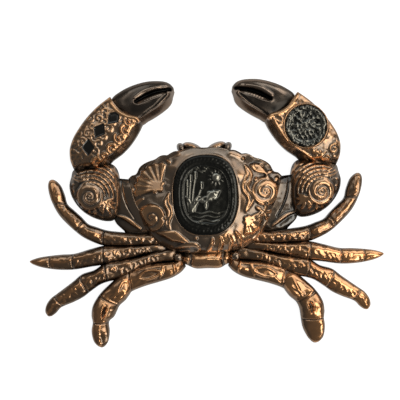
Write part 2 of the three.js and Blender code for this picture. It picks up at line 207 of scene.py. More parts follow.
def between(grid, row, column, up, across):
    """A grid's values between four of its places: at shares of the way up and across."""
    lower = grid[row, column] * (1 - across) + grid[row, column + 1] * across
    upper = grid[row + 1, column] * (1 - across) + grid[row + 1, column + 1] * across
    return lower * (1 - up) + upper * up


def oval_reach(direction):
    """How far the oval badge's edge is from its middle, each way."""
    across = np.abs(direction[:, 0] / OVAL["half_width"]) ** OVAL["power"]
    up = np.abs(direction[:, 1] / OVAL["half_height"]) ** OVAL["power"]
    return (across + up) ** (-1 / OVAL["power"])


class Relief:
    """The ornament of one piece, seen in plan: heights above its plain surface, in millimetres,
    and how much brighter or darker than the relief itself makes it each place is left."""

    PITCH = 0.07
    EDGE = 0.11
    CAST_ROUNDING = 0.16
    WEAR_ROUNDING = 0.09
    EDGE_WIDTH = 0.5
    FULL_EDGE = 0.2
    FULL_HEIGHT = 0.42
    PLAIN_WEAR = 0.46
    HEIGHT_WEAR = 0.18
    EDGE_WEAR = 0.24

    def __init__(self, low, high):
        self.low = np.array(low, float)
        across = np.arange(low[0], high[0], self.PITCH)
        up = np.arange(low[1], high[1], self.PITCH)
        self.x, self.y = np.meshgrid(across, up)
        self.height = np.zeros_like(self.x)
        self.tone = np.zeros_like(self.x)

    def window(self, low, high):
        """The part of the grid between two corners."""
        first = np.maximum(((np.array(low) - self.low) / self.PITCH).astype(int), 0)
        last = np.maximum(((np.array(high) - self.low) / self.PITCH).astype(int) + 2, 0)
        return slice(first[1], last[1]), slice(first[0], last[0])

    def lay(self, part, inside, height, add, tone):
        """Lays a form over what is there, or adds it to that."""
        if add:
            self.height[part] += inside * height
        else:
            self.height[part] += inside * (height - self.height[part])
        self.tone[part] += inside * (tone - self.tone[part])

    def measure(self, points, reach):
        """The part of the grid round a curve, and for its places how far along the curve the
        nearest point is, on which side of it they lie and how far away."""
        path = smooth_path(points, 6)
        part = self.window(path.min(0) - reach, path.max(0) + reach)
        x, y = self.x[part], self.y[part]
        nearest = np.full(x.shape, 1e9)
        along, side = np.zeros(x.shape), np.ones(x.shape)
        for i, (start, end) in enumerate(zip(path[:-1], path[1:])):
            step = end - start
            share = ((x - start[0]) * step[0] + (y - start[1]) * step[1]) / max(step @ step, 1e-9)
            share = np.clip(share, 0, 1)
            off_x, off_y = x - start[0] - share * step[0], y - start[1] - share * step[1]
            away = np.hypot(off_x, off_y)
            closer = away < nearest
            nearest[closer] = away[closer]
            along[closer] = (i + share[closer]) / (len(path) - 1)
            side[closer] = np.sign(step[0] * off_y - step[1] * off_x)[closer]
        return part, along, side, nearest

    def ribbon(self, points, half_widths, section, add=False, tone=0.0):
        """Lays a strip along a curve. section(along, across) is its height; across is -1 to 1."""
        part, along, side, nearest = self.measure(points, max(half_widths) + self.EDGE)
        half_width = np.interp(along, np.linspace(0, 1, len(half_widths)), half_widths)
        across = np.clip(side * nearest / np.maximum(half_width, 0.02), -1, 1)
        inside = np.clip((half_width - nearest) / self.EDGE + 0.5, 0, 1)
        self.lay(part, inside, section(along, across), add, tone)

    def rosette(self, centre, radius, section, turn=0.0, shape=None, add=False, tone=0.0):
        """Lays a round form. section(share, angle) is its height, shape(angle) its edge."""
        reach = radius * 1.1 + self.EDGE
        part = self.window(np.array(centre) - reach, np.array(centre) + reach)
        x, y = self.x[part] - centre[0], self.y[part] - centre[1]
        angle = np.angle(np.exp(1j * (np.arctan2(y, x) - math.radians(turn))))
        edge = radius * (shape(angle) if shape else 1.0)
        away = np.hypot(x, y)
        inside = np.clip((edge - away) / self.EDGE + 0.5, 0, 1)
        self.lay(part, inside, section(np.clip(away / np.maximum(edge, 0.02), 0, 1), angle), add, tone)

    def soft(self, points, width, height=0.0, tone=0.0):
        """Adds a soft swelling or hollow along a curve, and makes it brighter or darker."""
        part, _, _, away = self.measure(points, 2.2 * width)
        share = np.exp(-((away / width) ** 2))
        self.height[part] += height * share
        self.tone[part] += tone * share

    def blurred(self, grid, radius):
        """A grid, softened over a radius."""
        rows, columns = grid.shape
        fall = np.add.outer(np.fft.fftfreq(rows) ** 2, np.fft.rfftfreq(columns) ** 2)
        soften = np.exp(-2 * (math.pi * radius / self.PITCH) ** 2 * fall)
        return np.fft.irfft2(np.fft.rfft2(grid) * soften, s=grid.shape)

    def sample(self, grid, x, y):
        """A grid's value at places on the piece."""
        column = np.clip((x - self.low[0]) / self.PITCH, 0, grid.shape[1] - 1.001)
        row = np.clip((y - self.low[1]) / self.PITCH, 0, grid.shape[0] - 1.001)
        c, r = column.astype(int), row.astype(int)
        return between(grid, r, c, row - r, column - c)

    def cast(self, x, y):
        """The ornament's height at places on the piece, and how bright they are: rubbed, and with painted
        light and shade from the tone.
        """
        proud = self.height - self.blurred(self.height, self.EDGE_WIDTH)
        edges = np.clip(proud / self.FULL_EDGE, -1, 0.5)
        broad = np.clip(self.height / self.FULL_HEIGHT, -0.6, 1)
        wear_and_light = self.PLAIN_WEAR + self.HEIGHT_WEAR * broad + self.EDGE_WEAR * edges + self.tone
        raised = self.sample(self.blurred(self.height, self.CAST_ROUNDING), x, y)
        return raised, self.sample(self.blurred(wear_and_light, self.WEAR_ROUNDING), x, y)


def rounded(height, out):
    """The height of a round section, from its middle at 0 out to its edge at 1."""
    return height * np.sqrt(np.clip(1.02 - out**2, 0, 1))


def ridge(height):
    """A rounded strip."""
    return lambda along, across: rounded(height, across)


def level(height):
    """A flat strip."""
    return lambda along, across: height + 0 * across


def rope(height, strands):
    """A twisted cord."""

    def section(along, across):
        twist = np.cos(math.tau * (strands * along + 0.35 * across))
        return rounded(height, across) * (0.8 + 0.2 * twist)

    return section


def blade(height, veins):
    """A leaf with a sunk middle vein and side veins, proud at its edge."""

    def section(along, across):
        reach = np.abs(across)
        middle_vein = np.exp(-((reach / 0.14) ** 2))
        side_veins = 0.16 * np.cos(math.tau * (veins * along - 0.9 * reach)) * (1 - reach)
        return height * (0.72 + 0.28 * reach - 0.5 * middle_vein + side_veins)

    return section


def fan(height, ribs):
    """A scallop shell: ribs that open from its hinge, crossed by growth lines."""

    def section(share, angle):
        rib = 0.5 + 0.5 * np.cos(math.tau * ribs * angle / (2 * FAN_SPREAD))
        growth = 0.06 * np.cos(math.tau * 2 * share)
        bowl = np.sqrt(np.clip(1 - (1.5 * share - 0.7) ** 2, 0, 1))
        return height * (0.3 + 0.45 * bowl + 0.34 * rib * share + growth)

    return section


def fan_edge(ribs):
    """A scallop shell's edge, with a short ear each side of the hinge."""

    def shape(angle):
        lip = 1 + 0.035 * np.cos(math.tau * ribs * angle / (2 * FAN_SPREAD))
        ears = np.where(np.abs(angle) < FAN_SPREAD + 0.5, 0.3, 0.12)
        return np.where(np.abs(angle) < FAN_SPREAD, lip, ears)

    return shape


def star(height):
    """A sea star's arm ridges, beaded down their middles."""

    def section(share, angle):
        arm = np.abs(np.angle(np.exp(1j * STAR_ARMS * angle))) / STAR_ARMS
        bead = 0.12 * np.cos(math.tau * 5 * share) * np.exp(-((arm / 0.12) ** 2))
        return height * (1.05 - 0.45 * share - 0.8 * np.abs(arm) * (1 - 0.4 * share) + bead)

    return section


def star_edge(angle):
    """A sea star's outline."""
    arm = 0.5 + 0.5 * np.cos(STAR_ARMS * angle)
    return 0.38 + 0.62 * arm**1.8


def whorl(height, ribs, tightness):
    """A coiled shell: one round whorl inside the next, ribbed across."""

    def section(share, angle):
        turns = np.log(1 / np.clip(share, 0.1, 1)) / (math.tau * tightness) - angle / math.tau
        inside = turns - np.floor(turns)
        rib = 0.08 * np.cos(ribs * angle + 2.2 * inside) * np.sin(math.pi * inside)
        return height * (0.25 + 0.85 * np.sin(math.pi * inside) ** 0.6 + rib)

    return section


def bubble(height):
    """A round bead."""
    return lambda share, angle: rounded(height, share)


def coil(centre, start_radius, end_radius, turns, start=0.0, points=20):
    """Points on a spiral."""
    share = np.linspace(0, 1, points)
    angle = math.radians(start) + math.tau * turns * share
    radius = start_radius + (end_radius - start_radius) * share
    return np.stack([centre[0] + radius * np.cos(angle), centre[1] + radius * np.sin(angle)], -1)


def turned(points, centre, degrees, scale=1.0):
    """Points turned about the origin, scaled and moved to a centre."""
    c, s = math.cos(math.radians(degrees)) * scale, math.sin(math.radians(degrees)) * scale
    return [(centre[0] + c * x - s * y, centre[1] + s * x + c * y) for x, y in points]


def draw_fish(relief, centre, length, turn, height, flip=1):
    """A fish with a smooth back, rows of scales below, a gill, an eye, a back fin and a forked tail."""

    def placed(*points):
        return turned(points, centre, turn, length)

    def scales(along, across):
        rows = np.cos(math.tau * 8 * along) * np.cos(math.tau * 1.8 * across)
        lower = np.clip(0.4 - flip * across, 0, 1)
        return height * (0.5 + 0.5 * np.sqrt(np.clip(1 - across**2, 0, 1)) + 0.16 * rows * lower)

    for side in (-1, 1):
        lobe = placed((-0.36, 0), (-0.48, 0.13 * side), (-0.58, 0.26 * side))
        relief.ribbon(lobe, (0.05 * length, 0.085 * length, 0.02 * length), blade(height * 0.85, 4))
    fin = placed((-0.14, 0.15 * flip), (0.02, 0.25 * flip), (0.18, 0.17 * flip))
    relief.ribbon(fin, (0.04 * length, 0.07 * length, 0.03 * length), blade(height * 0.75, 5))
    body = placed((-0.4, 0), (-0.1, 0.03 * flip), (0.2, 0.03 * flip), (0.48, 0))
    widths = np.array((0.035, 0.13, 0.2, 0.18, 0.03)) * length
    relief.ribbon(body, widths, scales)
    gill = placed((0.22, 0.13), (0.17, 0.02), (0.22, -0.1))
    relief.ribbon(gill, (0.09, 0.11, 0.09), ridge(0.16), add=True)
    relief.rosette(placed((0.33, 0.06 * flip))[0], 0.055 * length, bubble(0.22), add=True)


def draw_wave(relief, middle, length, turn, height):
    """A breaking wave, smooth on its back, with its crest curled under, and foam at its foot."""
    line = [
        (-0.5, -0.1), (-0.22, 0.02), (0.06, 0.14), (0.3, 0.16), (0.45, 0.04), (0.4, -0.1), (0.29, -0.06),
    ]
    widths = np.array((0.03, 0.085, 0.115, 0.1, 0.06, 0.04, 0.02)) * length
    relief.ribbon(turned(line, middle, turn, length), widths, ridge(height))
    foam = turned([(x, y - 0.2) for x, y in line[:3]], middle, turn, length)
    relief.ribbon(foam, (0.06, 0.2, 0.1), ridge(height * 0.8))


def pebbled(relief, seed, amount, size):
    """The uneven ground between the figures: swellings of a size, by chance higher or lower."""
    rng = np.random.default_rng(seed)
    rows, columns = (int(n * relief.PITCH / size) + 3 for n in relief.height.shape)
    grid = rng.normal(size=(rows, columns))
    row = (relief.y - relief.low[1]) / size
    column = (relief.x - relief.low[0]) / size
    up, across = (0.5 - 0.5 * np.cos(math.pi * (v - v.astype(int))) for v in (row, column))
    relief.height += amount * between(grid, row.astype(int), column.astype(int), up, across)


WALL_WEAR = 0.2
SEAM_GAP = 0.001 * MM


def casting(name, columns, rows, surface, side=1, ring=False, foot=None):
    """A solid with a shaped face over a flat back. surface(along, across) gives the face's places,
    in millimetres, and their wear with painted light and shade; foot(x, y) is where its walls end below.
    A ring has its start and end joined, and a side of -1 turns the piece over to the left."""
    bm = bmesh.new()
    bmesh.ops.create_grid(bm, x_segments=columns, y_segments=rows, size=0.5)
    flat = np.array([vert.co[:2] for vert in bm.verts]) + 0.5
    along, across = np.clip(flat.T, 0, 1)
    places, wear_and_light = surface(along, across)
    for vert, place in zip(bm.verts, (places * (MM * side, MM, MM)).tolist()):
        vert.co = place
    shine = bm.verts.layers.float.new("wear_and_light")
    for vert, share in zip(bm.verts, wear_and_light.tolist()):
        vert[shine] = share
    if ring:
        seam = [vert for vert, share in zip(bm.verts, along) if share < 1e-6 or share > 1 - 1e-6]
        bmesh.ops.remove_doubles(bm, verts=seam, dist=SEAM_GAP)
    rim = [edge for edge in bm.edges if edge.is_boundary]
    walls = bmesh.ops.extrude_edge_only(bm, edges=rim)["geom"]
    for vert in (part for part in walls if isinstance(part, bmesh.types.BMVert)):
        vert.co.z = foot(vert.co.x / MM, vert.co.y / MM) * MM if foot else 0.0
        vert[shine] = WALL_WEAR
    open_edges = [edge for edge in bm.edges if edge.is_boundary]
    backs = bmesh.ops.holes_fill(bm, edges=open_edges, sides=0)["faces"]
    bmesh.ops.recalc_face_normals(bm, faces=bm.faces)
    for face in bm.faces:
        face.smooth = True
    for face in backs:
        for edge in face.edges:
            edge.smooth = False
    mesh = bpy.data.meshes.new(name)
    bm.to_mesh(mesh)
    bm.free()
    return added(name, mesh)


BLOTCHES = {"Scale": 170, "Detail": 4}
GRAIN = {"Scale": 1500, "Detail": 3}
GRAIN_SHADE = 0.04
PIT_STRENGTH = 0.06
PIT_DEPTH = 0.02 * MM


def antiqued_metal():
    """A group that gives plated metal its dark hollows, rubbed heights, painted light and shade, mottling and
    fine pitting.
    """
    tree = bpy.data.node_groups.new("antiqued_metal", "ShaderNodeTree")
    sockets = tree.interface
    for word in ("Hollow", "Plain", "Height"):
        sockets.new_socket(word, in_out="INPUT", socket_type="NodeSocketColor")
    for word in ("Mottle", "Satin"):
        sockets.new_socket(word, in_out="INPUT", socket_type="NodeSocketFloat")
    sockets.new_socket("Color", in_out="OUTPUT", socket_type="NodeSocketColor")
    sockets.new_socket("Roughness", in_out="OUTPUT", socket_type="NodeSocketFloat")
    sockets.new_socket("Normal", in_out="OUTPUT", socket_type="NodeSocketVector")
    new, link = tree.nodes.new, tree.links.new
    given, result = new("NodeGroupInput"), new("NodeGroupOutput")
    place, worn_and_lit = new("ShaderNodeTexCoord"), new("ShaderNodeAttribute")
    worn_and_lit.attribute_name = "wear_and_light"

    def noise(sizes):
        texture = new("ShaderNodeTexNoise")
        for word, number in sizes.items():
            texture.inputs[word].default_value = number
        link(place.outputs["Object"], texture.inputs["Vector"])
        return texture.outputs["Fac"]

    def varied(value, texture, amount):
        """value + (texture - 0.5) * amount"""
        centred, scaled = new("ShaderNodeMath"), new("ShaderNodeMath")
        centred.operation, scaled.operation = "SUBTRACT", "MULTIPLY_ADD"
        link(texture, centred.inputs[0])
        centred.inputs[1].default_value = 0.5
        link(centred.outputs[0], scaled.inputs[0])
        if isinstance(amount, float):
            scaled.inputs[1].default_value = amount
        else:
            link(amount, scaled.inputs[1])
        link(value, scaled.inputs[2])
        return scaled.outputs[0]

    def ramp(value, low, high, to_low=0.0, to_high=1.0):
        span = new("ShaderNodeMapRange")
        span.interpolation_type = "SMOOTHSTEP"
        link(value, span.inputs["Value"])
        ends = {"From Min": low, "From Max": high, "To Min": to_low, "To Max": to_high}
        for word, number in ends.items():
            span.inputs[word].default_value = number
        return span.outputs["Result"]

    def mixed(share, first, second):
        mix = new("ShaderNodeMix")
        mix.data_type = "RGBA"
        link(share, mix.inputs["Factor"])
        link(first, mix.inputs["A"])
        link(second, mix.inputs["B"])
        return mix.outputs["Result"]

    blotches, grain = noise(BLOTCHES), noise(GRAIN)
    tone = varied(varied(worn_and_lit.outputs["Fac"], blotches, given.outputs["Mottle"]), grain, GRAIN_SHADE)
    lower = mixed(ramp(tone, -0.05, 0.4), given.outputs["Hollow"], given.outputs["Plain"])
    link(mixed(ramp(tone, 0.4, 0.9), lower, given.outputs["Height"]), result.inputs["Color"])
    link(varied(ramp(tone, 0.0, 0.9, 0.32, 0.2), grain, given.outputs["Satin"]), result.inputs["Roughness"])
    pits = new("ShaderNodeBump")
    pits.inputs["Strength"].default_value = PIT_STRENGTH
    pits.inputs["Distance"].default_value = PIT_DEPTH
    link(grain, pits.inputs["Height"])
    link(pits.outputs["Normal"], result.inputs["Normal"])
    return tree


ANTIQUED = antiqued_metal()


def plated(name, hollow, plain, height, gloss, mottle=0.08, satin=0.03):
    """One plated finish, from its colours in the hollows, on plain ground and on what stands proud."""
    material = bpy.data.materials.new(name)
    material.use_nodes = True
    tree = material.node_tree
    shader = tree.nodes["Principled BSDF"]
    shader.inputs["Metallic"].default_value = 0.97
    shader.inputs["Coat Weight"].default_value = gloss
    shader.inputs["Coat Roughness"].default_value = 0.1
    shader.inputs["Coat IOR"].default_value = 1.8
    group = tree.nodes.new("ShaderNodeGroup")
    group.node_tree = ANTIQUED
    for word, colour in (("Hollow", hollow), ("Plain", plain), ("Height", height)):
        group.inputs[word].default_value = (*colour, 1)
    group.inputs["Mottle"].default_value = mottle
    group.inputs["Satin"].default_value = satin
    tree.links.new(group.outputs["Color"], shader.inputs["Base Color"])
    tree.links.new(group.outputs["Roughness"], shader.inputs["Roughness"])
    tree.links.new(group.outputs["Normal"], shader.inputs["Normal"])
    return material


def keep(piece, finish, node):
    """Gives a piece its finish, and fixes it to the one body in place of its plain node."""
    piece.data.materials.append(finish)
    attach(piece, "root")
    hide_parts(node)


ANTIQUE_COPPER = plated(
    "antique_copper", hollow=(0.018, 0.015, 0.012), plain=(0.262, 0.187, 0.131),
    height=(0.84, 0.445, 0.2), gloss=0.7,
)

whole_rim = SHELL_HALF_RIM + [(-x, y) for x, y in SHELL_HALF_RIM[-2:0:-1]]
shell_rim = evenly(smooth_path(whole_rim, 8, closed=True), RIM_POINTS)

garden = Relief((-21.5, -11), (21.5, 18))
pebbled(garden, 3, 0.03, 1.3)
pebbled(garden, 4, 0.12, 2.6)
garden.rosette((-11.2, 6.8), 6.4, fan(0.7, ribs=7), 136, fan_edge(ribs=7))
# The smaller fan is painted a little darker, as shade that damps its highlight.
garden.rosette((9.9, -1.0), 4.0, fan(0.6, ribs=4), -36, fan_edge(ribs=4), tone=-0.1)
garden.rosette((15.0, 5.6), 3.5, whorl(0.7, 3, 0.16), 40)
garden.rosette((-13.6, -0.4), 3.4, whorl(0.7, 2, 0.2), 150)
garden.rosette((14.6, 0.4), 2.6, star(0.62), 75, star_edge)
weed = [(-9.0, 5.6), (-9.7, 3.4), (-8.8, 1.0), (-9.6, -1.6), (-9.0, -3.4)]
garden.ribbon(weed, (0.2, 0.7, 0.75, 0.65, 0.2), blade(0.45, 2))
kelp = [(10.0, 12.2), (11.0, 9.8), (9.9, 6.8), (11.3, 3.8), (10.0, 0.9)]
garden.ribbon(kelp, (0.2, 0.85, 0.95, 0.85, 0.3), blade(0.5, 5))
draw_fish(garden, (13.6, 11.0), 5.4, 152, 0.55, -1)
garden.ribbon([(-15.6, 4.4), (-17.6, 2.8), (-18.0, 1.0)], (0.2, 0.6, 0.1), blade(0.5, 3))
dune = [(-12.2, -4.1), (-8.2, -5.0), (-3.8, -7.2)]
garden.ribbon(dune, (0.2, 1.45, 0.2), ridge(0.62), tone=0.06)
draw_wave(garden, (-4.8, -8.1), 6.4, -10, 0.5)
for rib in (
    [(1.4, -5.8), (1.2, -7.4), (0.2, -9.2)], [(3.5, -5.5), (3.7, -7.2), (3.0, -9.0)],
    [(5.5, -5.0), (6.1, -6.8), (5.9, -8.6)], [(7.2, -4.1), (8.2, -5.8), (8.5, -7.7)],
):
    garden.ribbon(rib, (0.2, 0.55, 0.4), ridge(0.62), tone=-0.04)
for x, y, radius in (
    (-18.3, 6.6, 0.7), (-10.2, -0.6, 0.6), (-15.6, -3.6, 0.5), (12.6, 8.6, 0.6), (17.9, 8.6, 0.65),
    (17.4, 1.9, 0.5), (-8.9, 13.4, 0.6), (9.6, 13.9, 0.5), (-2.6, -5.7, 0.4),
):
    garden.rosette((x, y), radius, bubble(0.45))
flange = [(19.0, 5.6), (18.1, 3.0), (16.6, 0.4), (14.9, -2.4), (13.3, -4.8), (11.6, -6.4)]
brow_fold = [(9.6, 13.9), (8.0, 14.7), (6.4, 15.3)]
head_shade = [(15.5, 11.4), (7.5, 14.9), (0, 15.9)]
for side in (-1, 1):
    garden.ribbon([(side * x, y) for x, y in flange], (0.2, 0.3, 0.3, 0.2), ridge(0.3), tone=-0.1)
    garden.soft([(side * x, y) for x, y in brow_fold], 0.5, height=0.2)
    garden.soft([(side * x, y) for x, y in head_shade], 1.2, tone=-0.06)
# Painted sheen: a soft brighter band down the right of the shell.
garden.soft([(9.8, 10.0), (9.6, 4.0), (9.6, -2.6)], 1.6, tone=0.12)
# Painted shade: a soft darker band along the lower left of the shell.
garden.soft([(-12.6, -4.0), (-8.0, -7.0), (-2.0, -8.6)], 2.0, tone=-0.1)
# Painted highlight: a strong soft bright band over the lower right of the shell.
garden.soft([(3.6, -6.8), (7.0, -6.0), (11.2, -3.6)], 1.9, tone=0.42)
oval_turn = np.linspace(0, math.tau, 90)
outward = rays(oval_turn)
pocket_lip = outward * (oval_reach(outward) + 0.22)[:, None] + OVAL["middle"]
garden.ribbon(pocket_lip, (0.24, 0.24), ridge(0.1), tone=-0.05)


def shell_surface(along, across):
    """The shell's face, from the badge's pocket out to the rim."""
    rim = at_share(shell_rim, along)
    outward = rim - OVAL["middle"]
    outward /= np.hypot(*outward.T)[:, None]
    pocket = outward * oval_reach(outward)[:, None] + OVAL["middle"]
    plan = pocket + (rim - pocket) * across[:, None]
    width = np.hypot(*(rim - pocket).T)
    headward = np.clip((outward[:, 1] + 0.2) / 0.7, 0, 1)
    drop = np.minimum(RIM_DROP, width * (SLOPE_AT_SIDES - HEAD_FLATTER * headward))
    fall = smooth_path(SHELL_FALL, 12)
    dome = np.interp(across, fall[:, 0], fall[:, 1])
    height = SHELL_TOP - drop * (dome + headward * (across - dome))
    inward = (1 - across) * width
    rounding = RIM_ROUNDING * (1 - HEAD_SHARPER * headward)
    height -= rounding * np.clip(1 - inward / RIM_ROUNDED_WIDTH, 0, 1) ** 2
    raised, wear_and_light = garden.cast(*plan.T)
    fade = np.clip(inward / RIM_PLAIN_WIDTH, 0, 1)
    # Painted shade along the rim, left off at the head.
    wear_and_light -= RIM_SHADE * (1 - headward) * (1 - fade)
    return np.column_stack([plan, height + raised * fade]), wear_and_light


def shell_foot(x, y):
    """The walls end on the pocket's floor inside the badge's edge, and on the table outside."""
    away = np.array([[x, y]]) - OVAL["middle"]
    distance = np.hypot(*away[0])
    return POCKET_FLOOR if distance < oval_reach(away / distance)[0] + POCKET_LIP else 0.0


shell = casting(
    "shell_casting", SHELL_STEPS_ROUND, SHELL_STEPS_OUT, shell_surface, ring=True, foot=shell_foot
)
keep(shell, ANTIQUE_COPPER, "shell")


# ---- Brow, eyes, hips and tail bar: round lobes, and a bar with two necks, that stand round the
# ---- shell's rim. They are one casting with the shell, so they share its finish and run in under it.
LOBE_SLOPE = [(0, 1), (0.55, 0.92), (0.85, 0.66), (1, 0.3)]
LOBE_STEPS = 44
PLAIN_FROM = 0.96
BROW_TONE = 0.1
EYE_TONE = -0.2
LOBES = {
    "brow": {"middle": (2.85, 16.6), "half": (2.85, 1.45), "turn": 26, "height": 5.5},
    "eye": {"middle": (5.7, 16.8), "half": (1.05, 1.55), "turn": -34, "height": 4.8},
    "hip": {"middle": (7.2, -10.4), "half": (1.5, 1.4), "turn": 0, "height": 3.8},
}
TAIL_RUNGS = [
    [(-6.2, -9.0), (-6.2, -11.9), 2.6, 0.5], [(-4.7, -8.8), (-4.7, -12.6), 3.2, 0.5],
    [(-3.1, -8.8), (-2.8, -13.4), 3.5, 0.5], [(0, -8.8), (0, -13.4), 4.0, 0.5],
    [(3.1, -8.8), (3.1, -13.4), 3.5, 0.5], [(4.7, -8.8), (4.7, -12.6), 3.2, 0.5],
    [(6.2, -9.0), (6.2, -11.9), 2.6, 0.5],
]
TAIL_STEPS = (170, 60)


def disc_places(along, across):
    """Where the places of a square sheet lie when it is made round: how far out, and which way."""
    a, b = 2 * along - 1, 2 * across - 1
    x, y = a * np.sqrt(1 - b**2 / 2), b * np.sqrt(1 - a**2 / 2)
    return np.clip(np.hypot(x, y), 0, 1), np.arctan2(y, x)


def dome_surface(middle, reach, slope, relief, edge_tone=-0.35):
    """A round form: its edge is reach(angle) from its middle, and its slope falls towards that. The
    ornament stops just short of the edge, which edge_tone makes brighter or darker."""
    fall = smooth_path(slope, 12)

    def surface(along, across):
        out, angle = disc_places(along, across)
        plan = rays(angle) * (out * reach(angle))[:, None] + middle
        raised, wear_and_light = relief.cast(*plan.T)
        fade = np.clip((1 - out) / (1 - PLAIN_FROM), 0, 1)
        height = np.interp(out, fall[:, 0], fall[:, 1]) + raised * fade
        return np.column_stack([plan, height]), wear_and_light + edge_tone * (1 - fade)

    return surface


class Limb:
    """A tapering arm of the casting, from its root to its tip. Each rung has its two ends on the
    outline, its crest's height, and how far across from the first end the crest lies."""

    MARGIN = 1.2

    def __init__(self, rungs, last_edge=None):
        rows = [(*first, *second, height, crest) for first, second, height, crest in rungs]
        self.curve = smooth_path(rows, 12)
        self.length = lengths((self.curve[:, :2] + self.curve[:, 2:4]) / 2)
        self.ticks = np.linspace(0, 1, len(self.length))
        self.last_edge = last_edge

    def share(self, length_share):
        """The share of the rungs at a share of the length."""
        return np.interp(length_share * self.length[-1], self.length, self.ticks)

    def distance(self, share):
        """How far along it a share of the rungs is."""
        return np.interp(share, self.ticks, self.length)

    def plan(self, share, across):
        """A place on it, from a share of its rungs and a share of its width."""
        share, across = np.broadcast_arrays(np.asarray(share, float), np.asarray(across, float))
        rung = at_share(self.curve, share)
        place = rung[..., :2] * (1 - across[..., None]) + rung[..., 2:4] * across[..., None]
        if self.last_edge is not None:
            last = self.curve[-1]
            chord = last[:2] * (1 - across[..., None]) + last[2:4] * across[..., None]
            place = place + (at_share(self.last_edge, across) - chord) * (share[..., None] ** 6)
        return place

    def bounds(self):
        """The corners of the room that its ornament takes in plan."""
        places = np.vstack([self.curve[:, :2], self.curve[:, 2:4]])
        return places.min(0) - self.MARGIN, places.max(0) + self.MARGIN


RIM_CROWDING = 0.35
CREST_WEAR = 0.16
ROOT_SHADE = 0.4
CUFF_HEIGHT = 0.06
CUFF_WEAR = 0.05
CREASE_DEPTH = 0.3
CREASE_DARK = 0.4
STEP_BEYOND_JOINT = 0.14


def limb_surface(
    limb, relief, wall=0.3, rounding=(0.97, 0.97), joints=(), root=0.4, tip=0.35, plain=0.0, wear_and_light_ramp=(0, 0),
    rim_light_and_shade=-0.25, waver=0.0,
):
    """A limb's face, with its ornament. wall is its rim's share of the crest's height, rounding how
    round its two slopes are, root and tip how far its ends sink, and waver how far the crest winds.
    At each joint it has a cuff and a crease. With plain, the slope beyond the crest has no ornament
    and is set to that brightness. The tones ramp, wear and painted light, is added from root to tip; the
    rims get painted shade, or painted light where their amount is above 0; and the root is painted
    darker as shade where it runs in under the shell."""

    def surface(along, across):
        share = limb.share(along)
        crowded = 0.5 - 0.5 * np.cos(math.pi * across)
        across = (1 - RIM_CROWDING) * across + RIM_CROWDING * crowded
        plan = limb.plan(share, across)
        rung = at_share(limb.curve, share)
        away = limb.distance(share)
        crest = rung[:, 5] + waver * (np.sin(1.7 * away) + np.sin(2.9 * away + 1))
        near = across < crest
        rise = np.clip(np.where(near, across / crest, (1 - across) / (1 - crest)), 0, 1)
        arch = np.clip(1 - (1 - rise) ** 3, 0, 1) ** 0.36
        part = np.where(near, *rounding)
        height = rung[:, 4] * (wall + (1 - wall) * (part * arch + (1 - part) * rise))
        height *= 1 - root * np.exp(-away / 0.7)
        height *= 1 - tip * np.exp(-(limb.length[-1] - away) / 0.5)
        raised, wear_and_light = relief.cast(*plan.T)
        fade = np.clip(rise / 0.14, 0, 1) * np.clip((limb.length[-1] - away) / 0.3, 0, 1)
        if plain:
            beyond = np.clip((across - crest) / 0.03 - 0.5, 0, 1)
            fade *= 1 - beyond
            wear_and_light += beyond * (plain - wear_and_light)
        wear_and_light += CREST_WEAR * np.exp(-(((1 - rise) / 0.12) ** 2))
        # painted shade along the rims, painted light where the amount is above 0
        wear_and_light += rim_light_and_shade * (1 - np.clip(rise / 0.4, 0, 1))
        height += raised * fade
        # wear and painted light, ramped from root to tip
        wear_and_light += np.interp(away, (0, limb.length[-1]), wear_and_light_ramp)
        # painted shade where the root runs in under the shell
        wear_and_light -= ROOT_SHADE * np.exp(-((away / 1.1) ** 2))
        for joint in joints:
            past = away - limb.distance(joint) - 0.3 * (1 - (2 * across - 1) ** 2)
            cuff = np.exp(-(((past + 0.42) / 0.26) ** 2))
            crease = np.exp(-((past / 0.17) ** 2))
            height += CUFF_HEIGHT * cuff - CREASE_DEPTH * crease
            height -= np.where(past > 0, STEP_BEYOND_JOINT * np.exp(-np.abs(past) / 1.1), 0)
            wear_and_light += CUFF_WEAR * cuff - CREASE_DARK * crease
        return np.column_stack([plan, height]), wear_and_light

    return surface


def worn_and_lit(surface, amount):
    """The same face, made brighter or darker all over by the given amount."""

    def worn_and_lit_face(along, across):
        places, wear_and_light = surface(along, across)
        return places, wear_and_light + amount

    return worn_and_lit_face


def ellipse_reach(half, turn):
    """How far an ellipse's edge is from its middle, each way."""

    def reach(angle):
        angle = angle - math.radians(turn)
        return 1 / np.hypot(np.cos(angle) / half[0], np.sin(angle) / half[1])

    return reach


for word, lobe in LOBES.items():
    folds = Relief(np.array(lobe["middle"]) - 3, np.array(lobe["middle"]) + 3)
    pebbled(folds, 5, 0.03, 0.9)
    if word == "brow":
        folds.tone += BROW_TONE
        folds.soft([(3.4, 16.7), (4.6, 16.9), (5.6, 17.6)], 0.35, -0.35, -0.3)
        folds.soft([(2.6, 17.2), (3.8, 17.7), (4.8, 18.0)], 0.3, 0.1, 0.1)
    elif word == "eye":
        folds.tone += EYE_TONE
    slope = [(out, share * lobe["height"]) for out, share in LOBE_SLOPE]
    form = dome_surface(lobe["middle"], ellipse_reach(lobe["half"], lobe["turn"]), slope, folds)
    for side, hand in ((-1, "left"), (1, "right")):
        knob = casting(f"{word}_{hand}", LOBE_STEPS, LOBE_STEPS, form, side=side)
        keep(knob, ANTIQUE_COPPER, "shell")

